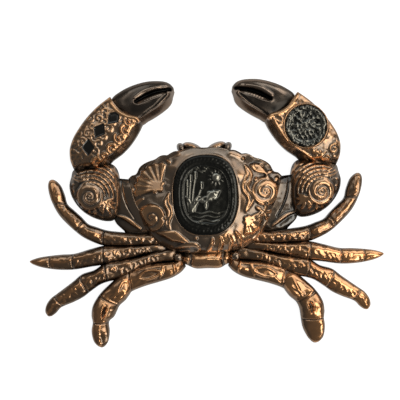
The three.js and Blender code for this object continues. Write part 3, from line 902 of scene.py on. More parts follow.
tail = Limb(TAIL_RUNGS)
tail_relief = Relief(*tail.bounds())
pebbled(tail_relief, 9, 0.07, 1.7)
for side in (-1, 1):
    neck = [(side * 4.4, -9.2), (side * 3.9, -11.0), (side * 4.3, -12.8)]
    tail_relief.soft(neck, 0.4, -0.5, -0.15)
    tail_relief.soft([(side * 4.9, -11.2), (side * 5.5, -10.8)], 0.55, 0.45)
tail_relief.soft([(-2.6, -10.9), (2.6, -10.9)], 0.8, 0.25, 0.1)
# The bar is painted brighter towards its right end, as sheen.
tail_form = limb_surface(tail, tail_relief, rounding=(0.8, 0.6), root=0.3, wear_and_light_ramp=(0.16, 0.42))
tail_bar = casting("tail_bar", *TAIL_STEPS, tail_form)
keep(tail_bar, ANTIQUE_COPPER, "shell")


# ---- Oval badge: a black nickel plate let into the shell's pocket. A dark band with a wreath of
# ---- small leaves runs round a sunk field with reeds, waves, a fish, birds and the sun.
OVAL_TOP = 6.75
OVAL_FIELD = OVAL_TOP - 0.3
OVAL_SEAT = 3.45
OVAL_SLOPE = [(0, OVAL_FIELD), (0.69, OVAL_FIELD), (0.73, OVAL_TOP), (0.94, OVAL_TOP), (1, OVAL_FIELD)]
OVAL_GAP = 0.07
FIELD_EDGE = 0.7
FIELD_LINE = 0.71
BAND_DARKER = 0.2
OVAL_STEPS = 190
LEAVES_ROUND = 60
REED_FOOT = 0.9
SUN_MIDDLE = (2.7, 9.3)
SUN_RAYS = 11
BLACK_NICKEL = plated(
    "black_nickel", hollow=(0.008, 0.009, 0.01), plain=(0.03, 0.03, 0.026), height=(0.36, 0.345, 0.29),
    gloss=0.25, mottle=0.1, satin=0.08,
)

seal = Relief((-9, -6), (9, 16))


def on_oval(turn, share):
    """Places on the badge at an angle, and at a share of the way out to its edge."""
    ray = rays(turn)
    return ray * (oval_reach(ray) * share)[:, None] + OVAL["middle"]


def oval_edge(angle):
    """How far the badge's edge is from its middle: just inside the pocket's."""
    return oval_reach(rays(angle)) - OVAL_GAP


seal.tone -= BAND_DARKER
seal.ribbon(on_oval(oval_turn, FIELD_LINE), (0.16, 0.16), ridge(0.26), tone=-0.1)
for i in range(LEAVES_ROUND):
    turn = math.tau * i / LEAVES_ROUND
    for share, lean in ((0.81, 0.03), (0.88, -0.03)):
        leaf = on_oval(np.array([turn - lean, turn + lean + 0.03]), np.array([share, share + 0.025]))
        seal.ribbon(leaf, (0.12, 0.2), ridge(0.08), tone=-0.18)
for i in range(4):
    y = 0.6 - 1.0 * i
    reach_x = 4.6 - 0.55 * i
    swell = [(x, y + 0.22 * math.sin(1.7 * x + i)) for x in np.linspace(-reach_x, reach_x, 12)]
    seal.ribbon(swell, (0.05, 0.14, 0.14, 0.05), ridge(0.26), tone=0.02)
for root_x, tip_x, tip_y in ((-4.3, -4.5, 7.6), (-3.5, -2.5, 9.6), (-3.9, -3.7, 8.8), (-2.8, -1.0, 7.0)):
    reed = [(root_x, REED_FOOT), ((root_x + tip_x) / 2 - 0.2, (REED_FOOT + tip_y) / 2), (tip_x, tip_y)]
    seal.ribbon(reed, (0.12, 0.11, 0.08), ridge(0.26), tone=0.05)
    seal.ribbon([(tip_x, tip_y - 0.2), (tip_x + 0.06, tip_y + 1.1)], (0.26, 0.2), ridge(0.4), tone=0.08)
for lean in (-0.9, 1.1, 2.6):
    sway = [(-3.4, 1.0), (-3.4 + lean * 0.6, 3.4), (-3.4 + lean * 1.5, 4.6), (-3.4 + lean * 2.1, 4.4)]
    seal.ribbon(sway, (0.16, 0.22, 0.16, 0.05), blade(0.3, 2), tone=0.04)
draw_fish(seal, (1.5, 4.4), 5.2, 38, 0.36)
seal.rosette(SUN_MIDDLE, 1.0, bubble(0.3), tone=0.05)
for i in range(SUN_RAYS):
    ray = turned([(1.35, 0), (2.1, 0)], SUN_MIDDLE, 360 / SUN_RAYS * i)
    seal.ribbon(ray, (0.12, 0.04), ridge(0.22), tone=0.04)
wing_line = ((-1, 0.25), (-0.5, 0.4), (0, 0), (0.5, 0.4), (1, 0.25))
for x, y, span in ((-0.9, 10.6, 1.0), (0.2, 11.4, 0.8), (-2.2, 11.3, 0.7)):
    wings = [(x + share * span, y + rise) for share, rise in wing_line]
    seal.ribbon(wings, (0.04, 0.11, 0.12, 0.11, 0.04), ridge(0.24), tone=0.05)
outward = np.stack([seal.x.ravel(), seal.y.ravel()], -1) - OVAL["middle"]
away = np.maximum(np.hypot(*outward.T), 1e-6)
sunk = np.clip((FIELD_EDGE - away / oval_reach(outward / away[:, None])) / 0.02, 0, 1)
seal.tone += BAND_DARKER * sunk.reshape(seal.tone.shape)
pebbled(seal, 33, 0.018, 0.9)
oval_form = dome_surface(OVAL["middle"], oval_edge, OVAL_SLOPE, seal, edge_tone=0)
oval_badge = casting("oval_badge", OVAL_STEPS, OVAL_STEPS, oval_form, foot=lambda x, y: OVAL_SEAT)
keep(oval_badge, BLACK_NICKEL, "badge_oval")


# ---- Arms: a smooth upper arm with one fold, and a round elbow carved all over like a coiled sea
# ---- shell. The left one is the right one turned over, each given its own painted light and shade
# ---- all over, and both run in under the shell.
UPPER_ARM_RUNGS = [
    [(23.0, 9.8), (18.4, 9.3), 3.4, 0.8], [(23.2, 7.5), (17.8, 7.0), 4.2, 0.86],
    [(23.4, 4.0), (16.6, 3.0), 4.0, 0.88], [(23.3, 0.9), (14.6, 0.0), 3.6, 0.88],
    [(22.6, -1.5), (13.4, -2.6), 3.0, 0.84], [(20.6, -3.6), (12.6, -4.0), 2.4, 0.55],
    [(20.3, -4.5), (12.6, -5.0), 1.7, 0.5],
]
ELBOW_MIDDLE = (27.7, 6.2)
ELBOW_RIM = [
    (34.0, 8.2), (33.5, 10.2), (32.9, 11.9), (30.8, 12.6), (28, 13.0), (25.4, 13.3), (23.4, 13.3),
    (22.2, 12.3), (21.6, 10.8), (21.3, 8.5), (21.3, 5.5), (21.5, 2.6), (22.1, 0.4), (23.4, -0.9),
    (25.4, -0.95), (27.5, -0.35), (29.4, 0.6), (31.2, 2.0), (32.7, 3.9), (33.7, 6.0),
]
ELBOW_SLOPE = [(0, 6.2), (0.45, 5.8), (0.8, 4.4), (0.95, 2.9), (1, 2.1)]
ARM_STEPS = (130, 90)
ELBOW_STEPS = (156, 156)
WHORL_MIDDLE = np.array((28.8, 5.2))
SPRIG_ROOT = (24.8, 4.3)
ARM_DARKER = 0.2

upper_arm = Limb(UPPER_ARM_RUNGS)
arm_relief = Relief(*upper_arm.bounds())
arm_relief.tone -= ARM_DARKER
pebbled(arm_relief, 12, 0.02, 0.8)
fold = [(22.4, 0.3), (20.8, -0.1), (19.4, -0.9), (17.8, -2.1), (16.6, -3.0)]
arm_relief.ribbon(fold, (0.2, 0.5, 0.5, 0.3), ridge(0.5))
groove = [(20.9, 8.8), (20.5, 5.4), (19.4, 2.2), (17.7, -0.7)]
arm_relief.ribbon(groove, (0.12, 0.22, 0.16), ridge(-0.3), tone=-0.2)
arm_form = limb_surface(upper_arm, arm_relief, wall=0.4, rounding=(0.45, 0.5), root=0.2, tip=0.2)

elbow_rim = smooth_path(ELBOW_RIM, 10, closed=True) - ELBOW_MIDDLE
elbow_angle = np.arctan2(elbow_rim[:, 1], elbow_rim[:, 0])
order = np.argsort(elbow_angle)
elbow_angle, elbow_out = elbow_angle[order], np.hypot(*elbow_rim[order].T)


def elbow_reach(angle):
    """How far the elbow's edge is from its middle, each way."""
    return np.interp(angle, elbow_angle, elbow_out, period=math.tau)


elbow_relief = Relief((20, -2.5), (35.5, 14.5))
elbow_relief.tone -= ARM_DARKER
pebbled(elbow_relief, 14, 0.08, 1.2)
for i in range(6):
    bow = coil(WHORL_MIDDLE, 3.5 + 1.0 * i, 3.9 + 1.0 * i, 0.36, start=50 + 4 * i, points=9)
    elbow_relief.ribbon(bow, (0.1, 0.4, 0.4, 0.1), rope(0.66, 9))
for turn, length in ((168, 1.9), (198, 2.5), (226, 3.1), (254, 3.5), (284, 3.4), (316, 2.7)):
    leaf = turned([(0.3, 0), (0.6 * length, 0.25), (length, 0)], SPRIG_ROOT, turn)
    elbow_relief.ribbon(leaf, (0.14, 0.42, 0.12), blade(0.62, 3), tone=0.06)
for i in range(4):
    bow = coil((30.6, 12.6), 1.1 + 0.75 * i, 1.3 + 0.75 * i, 0.28, start=-150 + 3 * i, points=8)
    elbow_relief.ribbon(bow, (0.1, 0.26, 0.26, 0.1), ridge(0.38))
elbow_relief.rosette(WHORL_MIDDLE, 3.35, whorl(0.8, 5, 0.15), 115, tone=-0.12)
for i in range(5):
    turn = math.radians(-64 - 24 * i)
    root = WHORL_MIDDLE + 3.5 * rays(turn)
    tip = WHORL_MIDDLE + (5.3 if i % 2 else 4.8) * rays(turn + 0.16)
    elbow_relief.ribbon([root, (root + tip) / 2, tip], (0.18, 0.42, 0.12), blade(0.55, 3), tone=0.04)
inner_edge = [(22.7, 12.6), (22.3, 10.0), (22.0, 7.0), (22.0, 3.5), (22.5, 1.2)]
elbow_relief.ribbon(inner_edge, (0.2, 0.34, 0.3, 0.2), ridge(0.35))
for x, y, radius in (
    (32.9, 8.4, 0.34), (32.7, 6.7, 0.3), (32.4, 10.4, 0.36), (32.2, 4.9, 0.3), (31.3, 3.2, 0.3),
):
    elbow_relief.rosette((x, y), radius, bubble(0.4))
elbow_form = dome_surface(ELBOW_MIDDLE, elbow_reach, ELBOW_SLOPE, elbow_relief)

# Each side gets its own painted light and shade all over: the right arm darker, the left arm and the right
# elbow brighter.
for side, hand, arm_light, elbow_light in ((-1, "left", 0.06, 0.0), (1, "right", -0.16, 0.1)):
    arm = casting(f"upper_arm_{hand}", *ARM_STEPS, worn_and_lit(arm_form, arm_light), side=side)
    keep(arm, ANTIQUE_COPPER, f"arm_{hand}")
    elbow = casting(f"elbow_{hand}", *ELBOW_STEPS, worn_and_lit(elbow_form, elbow_light), side=side)
    keep(elbow, ANTIQUE_COPPER, f"arm_{hand}")


# ---- Hands: the broad palms of the claws, with scrolls outside a crest line and a smooth inner
# ---- slope. The left one has three black lozenges let in. The right one has sprigs of leaves too,
# ---- and a raised collar round the pocket of its badge.
PALM_RUNGS = [
    [(32.5, 11.4), (24.6, 12.2), 3.0, 0.62], [(33.2, 13.2), (23.0, 13.9), 4.9, 0.7],
    [(33.6, 14.8), (22.2, 14.5), 5.5, 0.74], [(33.6, 17.2), (20.4, 15.8), 6.0, 0.8],
    [(32.7, 19.9), (18.6, 17.6), 6.1, 0.84], [(31.1, 22.5), (17.1, 19.6), 6.1, 0.86],
    [(29.1, 25.1), (16.0, 21.4), 6.0, 0.86], [(26.4, 27.8), (15.5, 22.4), 5.8, 0.86],
    [(23.3, 30.2), (15.2, 22.8), 5.5, 0.86],
]
PALM_LAST_EDGE = [
    (23.3, 30.1), (22.5, 28.8), (21.4, 27.3), (20.3, 26.3), (18.7, 25.5), (17.1, 25.1), (16.3, 24.6),
    (15.8, 23.8), (15.3, 22.8),
]
PALM_CREST = [
    (27.6, 13.2), (24.6, 14.9), (22.2, 16.7), (20.2, 18.8), (18.8, 20.8), (17.7, 22.7), (17.0, 24.4),
]
LIP_SHIFT = [
    (0.2, -0.6), (0.5, -0.4), (0.45, -0.45), (0.3, -0.55), (0.15, -0.6), (0.15, -0.55), (0.5, -0.3),
    (0.5, 0), (0.4, 0.2),
]
PALM_FORM = {
    "wall": 0.6, "rounding": (0.9, 0.1), "tip": 0, "plain": 0.2, "wear_and_light_ramp": (0.1, 0.2), "rim_light_and_shade": 0.0,
}
PALM_STEPS = (210, 156)
LEFT_PALM_DARKER = -0.08
LOZENGE_SIZE = 4.5
ENAMEL_BLACK = -1.2
BADGED_BULGE = (0.35, 0.2)
ROUND_MIDDLE = np.array((25.3, 21.6))
ROUND_RADIUS = 5.3
ROUND_FLOOR = 3.25
COLLAR_TOP = 6.15
COLLAR_WIDTH = 0.6
COLLAR_WEAR = 0.7
CURLS_IN_ROW = 10

palm = Limb(PALM_RUNGS, smooth_path(PALM_LAST_EDGE, 10))
badged_palm = Limb(
    [[tuple(np.add(outer, BADGED_BULGE)), *rest] for outer, *rest in PALM_RUNGS],
    smooth_path([tuple(np.add(PALM_LAST_EDGE[0], BADGED_BULGE)), *PALM_LAST_EDGE[1:]], 10),
)


def draw_palm_edges(relief):
    """The crest line over the inner slope, and the smooth lip towards the fingers."""
    relief.ribbon(PALM_CREST, (0.2, 0.3, 0.3, 0.25), ridge(0.3), tone=0.12)
    lip = [(x + dx, y + dy) for (x, y), (dx, dy) in zip(PALM_LAST_EDGE, LIP_SHIFT)]
    relief.ribbon(lip, (0.4, 0.52, 0.56, 0.52, 0.4), ridge(0.42), tone=0.12)


curled = Relief(*palm.bounds())
curled.tone += 0.05
pebbled(curled, 21, 0.04, 0.9)
pebbled(curled, 22, 0.08, 1.8)
for row, across in enumerate((0.07, 0.2, 0.34, 0.48)):
    for i, share in enumerate(np.linspace(0.05, 0.94, CURLS_IN_ROW) + 0.03 * (row % 2)):
        turns = 1.0 if (i + row) % 2 else -1.0
        middle = palm.plan(min(share, 0.95), across)
        curl = coil(middle, 1.05, 0.25, turns, start=70 * i + 130 * row, points=12)
        curled.ribbon(curl, (0.16, 0.36, 0.32, 0.2), ridge(0.22))
for share, across, turns, start in (
    (0.17, 0.62, 1.2, 200), (0.3, 0.72, -1.2, 20), (0.44, 0.76, 1.2, 230), (0.58, 0.77, -1.2, 40),
    (0.72, 0.76, 1.2, 250), (0.86, 0.72, -1.2, 60),
):
    scroll = coil(palm.plan(share, across), 1.6, 0.3, turns, start)
    curled.ribbon(scroll, (0.3, 0.48, 0.42, 0.3), ridge(0.62), tone=0.12)
for middle, turn in (((28.9, 17.5), 92), ((26.0, 21.5), 122), ((22.4, 24.7), 134)):
    lozenge = turned([(-0.5, 0), (0, 0), (0.5, 0)], middle, turn, LOZENGE_SIZE)
    curled.ribbon(lozenge, (0.2, 1.85, 0.2), level(0.3), tone=0.05)
    inlay = turned([(-0.45, 0), (0, 0), (0.45, 0)], middle, turn, LOZENGE_SIZE)
    curled.ribbon(inlay, (0.1, 1.6, 0.1), level(-0.1), tone=ENAMEL_BLACK)
draw_palm_edges(curled)

scrolled = Relief(*badged_palm.bounds())
pebbled(scrolled, 23, 0.06, 0.7)
pebbled(scrolled, 24, 0.08, 1.6)
for share, across, size, turns in (
    (0.14, 0.3, 1.25, 1.2), (0.3, 0.14, 1.15, 1.1), (0.96, 0.22, 1.0, 1.1), (0.93, 0.42, 0.9, -1.1),
):
    middle = badged_palm.plan(share, across)
    scrolled.ribbon(coil(middle, size, 0.2, turns, start=90 * turns), (0.3, 0.3, 0.2), ridge(0.36))
drop_loop = [(17.0, 24.1), (18.2, 24.4), (19.3, 23.8), (19.6, 22.7), (18.8, 22.7), (17.9, 23.3), (17.0, 24.1)]
scrolled.ribbon(drop_loop, (0.16, 0.2, 0.2, 0.16), ridge(0.28))
for share, across, size, turn in (
    (0.12, 0.5, 1.5, 70), (0.16, 0.68, 1.5, 150), (0.24, 0.56, 1.4, 20), (0.22, 0.4, 1.4, 120),
    (0.08, 0.74, 1.3, 200), (0.34, 0.05, 1.4, 60), (0.06, 0.36, 1.3, 40),
):
    root = badged_palm.plan(share, across)
    for k in range(3):
        leaf = turned([(0, 0), (0.5, 0.1), (1, 0)], root, turn + 44 * k, size)
        scrolled.ribbon(leaf, (0.14, 0.42, 0.1), ridge(0.42))
draw_palm_edges(scrolled)
badged_face = limb_surface(badged_palm, scrolled, **PALM_FORM)


def badged_surface(along, across):
    """The right palm's face, with the collar and the pocket of the badge."""
    places, wear_and_light = badged_face(along, across)
    out = np.hypot(*(places[:, :2] - ROUND_MIDDLE).T)
    collar = np.clip((ROUND_RADIUS + COLLAR_WIDTH - out) / 0.3, 0, 1)
    top = COLLAR_TOP - 0.25 * np.clip((out - ROUND_RADIUS - 0.15) / 0.3, -1, 1) ** 2
    places[:, 2] += collar * (top - places[:, 2])
    wear_and_light += collar * (COLLAR_WEAR - wear_and_light)
    pocket = np.clip((ROUND_RADIUS - 0.05 - out) / 0.12, 0, 1)
    places[:, 2] += pocket * (ROUND_FLOOR - places[:, 2])
    return places, wear_and_light * (1 - pocket)


left_surface = worn_and_lit(limb_surface(palm, curled, **PALM_FORM), LEFT_PALM_DARKER)
for side, hand, form in ((-1, "left", left_surface), (1, "right", badged_surface)):
    hand_casting = casting(f"palm_{hand}", *PALM_STEPS, form, side=side)
    keep(hand_casting, ANTIQUE_COPPER, f"claw_{hand}")


# ---- Round badge: a black nickel disc in the right palm, with a beaded edge, a rope ring and a
# ---- many-leaved rose in a closely chased ground.
ROUND_SLOPE = [(0, 6.15), (0.66, 6.1), (0.74, 6.1), (0.8, 6.3), (0.93, 6.35), (1, 6.0)]
ROUND_STEPS = (150, 150)
ROUND_SEAT = ROUND_FLOOR + 0.05
PRESS_FIT = 0.02
BEADS_ROUND = 44
BEAD_RING = 4.6
ROPE_RING = 4.0

rose = Relief(ROUND_MIDDLE - 6.2, ROUND_MIDDLE + 6.2)
pebbled(rose, 31, 0.2, 0.5)
rose.tone += 0.04
for i in range(BEADS_ROUND):
    bead = ROUND_MIDDLE + BEAD_RING * rays(math.tau * i / BEADS_ROUND)
    rose.rosette(bead, 0.25, bubble(0.26), tone=0.05)
round_rope = ROUND_MIDDLE + ROPE_RING * rays(np.linspace(0, math.tau, 60))
rose.ribbon(round_rope, (0.17, 0.17), rope(0.3, BEADS_ROUND), tone=0.1)
for count, start, out, size in ((16, 0, 2.75, 1.6), (12, 15, 1.9, 1.4), (8, 0, 0.9, 1.1)):
    for i in range(count):
        turn = start + 360 / count * i
        root = turned([(out - size / 2, 0)], ROUND_MIDDLE, turn)[0]
        leaf = turned([(0, 0), (0.5, 0.12), (1, 0)], root, turn + 8, size)
        rose.ribbon(leaf, (0.08, 0.28, 0.06), blade(0.22, 2), add=True, tone=0.04)
rose.rosette(ROUND_MIDDLE, 0.5, star(0.5), 0, star_edge, tone=0.2)


def round_edge(angle):
    """How far the badge's edge is from its middle: a press fit in the pocket."""
    return ROUND_RADIUS + PRESS_FIT + 0 * angle


round_form = dome_surface(ROUND_MIDDLE, round_edge, ROUND_SLOPE, rose, edge_tone=-0.2)
round_badge = casting("round_badge", *ROUND_STEPS, round_form, foot=lambda x, y: ROUND_SEAT)
keep(round_badge, BLACK_NICKEL, "badge_round")


# ---- Fingers: the two fingers of each claw in one dark nickel casting, smooth, with a long slot
# ---- between them and a sharp line along the lower one. They run in under the palm's lip.
FINGER_RUNGS = [
    [(23.0, 26.6), (18.6, 24.2), 4.2, 0.7], [(23.2, 28.4), (16.8, 23.0), 4.7, 0.78],
    [(22.7, 29.9), (15.3, 22.9), 5.0, 0.8], [(21.2, 31.1), (14.0, 23.7), 5.1, 0.8],
    [(19.0, 32.3), (12.7, 24.4), 5.1, 0.79], [(16.5, 33.2), (11.2, 25.3), 5.0, 0.78],
    [(14.0, 33.75), (9.9, 26.2), 4.9, 0.77], [(11.5, 33.85), (8.7, 27.2), 4.6, 0.74],
    [(9.6, 33.65), (7.9, 28.3), 4.2, 0.7], [(8.3, 33.1), (7.55, 29.6), 3.5, 0.6],
    [(7.4, 32.2), (7.15, 30.9), 2.4, 0.5],
]
FINGER_STEPS = (150, 120)
DARK_NICKEL = plated(
    "dark_nickel", hollow=(0.008, 0.008, 0.008), plain=(0.075, 0.062, 0.052), height=(0.36, 0.265, 0.2),
    gloss=0.08, mottle=0.1,
)

fingers = Limb(FINGER_RUNGS)


def slot_section(along, across):
    """The slot, deepest in its middle."""
    return -0.4 - 0.8 * (1 - across**2)


def shelf_section(along, across):
    """The slot's lower side, which leans outwards and catches the light."""
    return -0.34 + 0.2 * across


def finger_face(bevel_tone, root_light):
    """The fingers' face, with how much brighter its outer bevel is made, and its root's painted light (above
    0) or painted shade (below 0).
    """
    smooth = Relief(*fingers.bounds())
    pebbled(smooth, 41, 0.02, 1.4)
    smooth.soft([(19.8, 29.9), (17.2, 31.9), (13.5, 33.0), (9.2, 32.9)], 0.9, 0.1, bevel_tone)
    # Painted light or shade on the root, set per side: shade on the right, light on the left.
    smooth.soft([(21.4, 28.2), (19.6, 27.0), (17.6, 25.6)], 1.3, tone=root_light)
    smooth.soft([(17.4, 26.6), (14.8, 27.4), (12.4, 28.5)], 0.8, tone=-0.14)
    slot_line = [(16.8, 28.75), (15.4, 29.45), (13.9, 30.2), (12.0, 30.85), (10.2, 31.2), (8.2, 31.5)]
    slot_rim = [
        (16.0, 30.2), (17.1, 29.4), (17.45, 28.5), (16.9, 27.95), (15.8, 28.0), (14.3, 28.5),
        (12.6, 29.3), (10.8, 30.0), (9.4, 30.4),
    ]
    shelf = [(16.3, 28.3), (14.6, 28.95), (12.7, 29.75), (10.9, 30.35), (9.6, 30.7)]
    smooth.ribbon(slot_rim, (0.1, 0.2, 0.22, 0.16, 0.1), ridge(0.12), tone=0.04)
    smooth.ribbon(slot_line, (0.4, 0.55, 0.65, 0.65, 0.55, 0.4), slot_section, tone=-0.2)
    # The shelf and its beads are painted bright, as a highlight along the slot's lower side.
    smooth.ribbon(shelf, (0.3, 0.42, 0.45, 0.45, 0.3), shelf_section, tone=0.42)
    for share in np.linspace(0.25, 0.85, 8):
        smooth.rosette(at_share(smooth_path(shelf, 8), share), 0.2, bubble(0.22), add=True, tone=0.3)
    # A soft raised band above the slot, rubbed and also painted brighter as a highlight.
    smooth.soft([(17.2, 29.7), (15.2, 31.1), (13.2, 31.9), (10.8, 32.3)], 0.3, 0.2, 0.22)
    crest_line = [(15.7, 24.4), (13.9, 25.7), (12.1, 26.9), (10.6, 28.3), (9.3, 29.6), (8.3, 30.7)]
    groove = [(x + 0.25, y + 0.32) for x, y in crest_line]
    smooth.ribbon(groove, (0.12, 0.2, 0.2, 0.1), ridge(-0.4), tone=-0.25)
    # The crest line is raised and rubbed, and also painted bright as a highlight.
    smooth.ribbon(crest_line, (0.2, 0.3, 0.3, 0.18), ridge(0.5), tone=0.5)
    smooth.rosette((8.75, 30.75), 0.5, bubble(0.4), tone=0.45)
    return limb_surface(fingers, smooth, wall=0.4, rounding=(0.9, 0.15), tip=0.3, plain=0.8, rim_light_and_shade=0.1)


for side, hand, bevel_tone, root_light in ((-1, "left", 0.0, 0.12), (1, "right", 0.2, -0.34)):
    finger_form = finger_face(bevel_tone, root_light)
    pair = casting(f"finger_pair_{hand}", *FINGER_STEPS, finger_form, side=side)
    keep(pair, DARK_NICKEL, f"fingers_{hand}")


# ---- Legs: four slender jointed legs a side, each an arched bar with cuffs at its joints and
# ---- chased strokes, lines and scrolls along its crest, in a redder copper than the shell's. Their
# ---- roots run in under the shell, and near it each leg touches the next.
def spread(rungs, count, first, second):
    """The rungs, with the first few's ends moved apart, so that the root meets its neighbours."""
    wider = []
    for i, (near, far, height, crest) in enumerate(rungs):
        near, far = np.array(near, float), np.array(far, float)
        apart = (near - far) / np.hypot(*(near - far)) * max(0.0, min(1.0, count - i))
        wider.append([tuple(near + apart * first), tuple(far - apart * second), height, crest])
    return wider


LEG_1_RUNGS = [
    [(11.6, -4.2), (10.0, -7.2), 2.7, 0.45], [(14.6, -4.35), (13.2, -7.05), 2.9, 0.45],
    [(18.0, -4.2), (17.5, -7.1), 3.2, 0.45], [(21.5, -3.8), (21.3, -7.1), 3.3, 0.45],
    [(25.0, -3.3), (25.3, -6.95), 3.0, 0.45], [(27.6, -2.4), (28.3, -6.25), 3.5, 0.45],
    [(29.6, -1.6), (31.2, -4.7), 3.1, 0.5], [(31.2, 0.1), (34.0, -2.3), 3.4, 0.55],
    [(33.1, 1.9), (36.6, 0.5), 3.3, 0.62], [(34.7, 3.5), (38.2, 3.3), 3.0, 0.66],
    [(35.3, 5.7), (39.1, 5.8), 3.0, 0.66], [(36.2, 8.0), (39.45, 8.0), 2.7, 0.62],
    [(37.2, 9.2), (39.2, 9.3), 2.2, 0.55], [(38.1, 9.75), (38.7, 9.75), 1.5, 0.5],
]
LEG_2_RUNGS = [
    [(9.4, -6.9), (9.4, -8.9), 2.0, 0.4], [(14.0, -7.2), (14.0, -9.1), 2.6, 0.4],
    [(18.0, -7.4), (18.0, -10.0), 3.0, 0.4], [(22.0, -7.45), (22.0, -10.95), 3.3, 0.4],
    [(25.6, -7.4), (25.4, -11.6), 4.0, 0.4], [(29.3, -7.95), (29.1, -12.35), 3.7, 0.4],
    [(33.2, -9.0), (33.0, -12.95), 3.2, 0.4], [(36.4, -9.15), (36.2, -13.0), 2.8, 0.45],
    [(39.4, -9.4), (39.3, -12.7), 2.3, 0.45], [(42.0, -9.75), (41.9, -12.15), 1.9, 0.45],
    [(43.8, -10.25), (43.6, -11.5), 1.5, 0.5], [(44.5, -10.6), (44.45, -10.95), 1.3, 0.5],
]
LEG_3_RUNGS = [
    [(7.0, -8.2), (7.0, -11.2), 2.4, 0.4], [(11.6, -8.8), (12.0, -11.5), 2.8, 0.4],
    [(15.5, -9.9), (15.9, -12.6), 3.0, 0.4], [(19.0, -10.6), (19.4, -14.3), 3.3, 0.38],
    [(22.5, -11.05), (22.9, -15.5), 3.6, 0.38], [(25.5, -11.7), (24.9, -15.9), 4.0, 0.4],
    [(28.3, -13.2), (26.9, -16.9), 3.8, 0.4], [(31.4, -14.2), (29.3, -18.5), 3.5, 0.4],
    [(33.6, -15.9), (31.2, -19.9), 3.2, 0.4], [(35.8, -17.5), (33.6, -21.1), 2.8, 0.45],
    [(37.9, -19.0), (35.7, -21.9), 2.5, 0.45], [(39.5, -20.2), (37.1, -22.6), 2.2, 0.5],
    [(40.6, -21.8), (38.1, -23.7), 1.9, 0.5], [(40.9, -23.4), (39.2, -24.5), 1.5, 0.5],
    [(40.4, -24.4), (39.9, -24.65), 1.4, 0.5],
]
LEG_4_RUNGS = [
    [(5.9, -10.2), (5.3, -12.9), 3.0, 0.5], [(7.4, -11.4), (6.6, -14.3), 3.5, 0.5],
    [(9.3, -11.8), (8.9, -15.6), 3.9, 0.5], [(12.5, -12.0), (12.3, -16.6), 4.1, 0.5],
    [(16.0, -12.5), (15.6, -17.5), 4.1, 0.5], [(19.6, -13.5), (18.8, -18.7), 3.5, 0.5],
    [(21.8, -14.6), (19.6, -19.6), 3.9, 0.45], [(24.3, -16.6), (20.6, -20.9), 3.9, 0.4],
    [(27.0, -19.2), (22.1, -22.2), 3.6, 0.36], [(28.8, -22.0), (22.8, -23.5), 4.0, 0.34],
]
WAISTED_FOOT = [
    [(29.25, -24.4), (23.6, -25.0), 3.7, 0.3], [(29.0, -26.3), (24.9, -26.3), 3.2, 0.3],
    [(29.35, -28.6), (24.8, -28.8), 2.8, 0.3], [(28.9, -31.0), (25.2, -31.1), 2.1, 0.3],
    [(27.9, -32.3), (26.0, -32.3), 1.6, 0.3], [(27.1, -32.7), (26.6, -32.7), 1.2, 0.4],
]
STRAIGHT_FOOT = [
    [(29.25, -24.4), (23.1, -24.8), 3.7, 0.3], [(29.1, -26.4), (23.3, -26.5), 3.2, 0.3],
    [(29.3, -28.6), (23.7, -28.8), 2.8, 0.3], [(28.9, -31.0), (24.8, -31.1), 2.1, 0.3],
    [(27.9, -32.3), (25.8, -32.3), 1.6, 0.3], [(27.1, -32.7), (26.4, -32.7), 1.2, 0.4],
]


def draw_strokes(relief, limb, start, end, count, near, far, lean, width, height):
    """A row of short slanting strokes along a limb, no two quite alike."""
    for i, share in enumerate(np.linspace(start, end, count)):
        uneven = 0.09 * math.sin(7.1 * i + 40 * start)
        share += 0.006 * math.sin(4.3 * i + 1)
        across = np.array([near + uneven, (near + far) / 2, far - uneven])
        shares = share + (lean + 0.1 * lean * uneven) * np.array([0, 0.4, 1])
        wide = width * (1 + 2 * uneven)
        relief.ribbon(limb.plan(shares, across), (wide * 0.5, wide, wide * 0.3), ridge(height))


def draw_line(relief, limb, start, end, across, width, height=0.28):
    """A raised line along a limb, or a sunk one."""
    path = limb.plan(np.linspace(start, end, 7), np.linspace(*across, 7))
    relief.ribbon(path, (width * 0.4, width, width, width * 0.4), ridge(height))


def draw_swell(relief, limb, start, end, across, width, height, tone=0.0):
    """A soft swelling along a limb, or a hollow."""
    relief.soft(limb.plan(np.linspace(start, end, 4), np.linspace(*across, 4)), width, height, tone)


def draw_loop(relief, limb, middle, half, width, height):
    """A raised almond-shaped loop along a limb, open at its end."""
    turn = np.linspace(0.5, math.tau - 0.3, 15)
    share = middle[0] + half[0] * np.cos(turn)
    across = middle[1] + half[1] * np.sin(turn) * np.abs(np.sin(turn)) ** 0.4
    relief.ribbon(limb.plan(share, across), (width * 0.6, width, width, width * 0.5), ridge(height))


def draw_curl(relief, limb, share, across, size):
    """A small scroll on a limb."""
    relief.ribbon(coil(limb.plan(share, across), size, 0.12, 1.1), (0.26, 0.24, 0.2), ridge(0.4))


def draw_chasing(relief, limb, start, end, across, count, seed, height=0.26):
    """Short curved strokes chased side by side along a limb, none quite like the next."""
    rng = np.random.default_rng(seed)
    for i in range(count):
        share = start + (end - start) * (i + rng.uniform(0.1, 0.9)) / count
        middle = limb.plan(share, across[0] + (across[1] - across[0]) * rng.uniform(0.1, 0.9))
        bend = rng.uniform(-0.25, 0.25)
        stroke = turned([(-0.5, 0), (0, bend), (0.5, 0)], middle, rng.uniform(35, 145), rng.uniform(1.0, 2.0))
        wide = rng.uniform(0.26, 0.48)
        relief.ribbon(stroke, (0.1, wide, 0.1), ridge(height * rng.uniform(0.6, 1.2)))


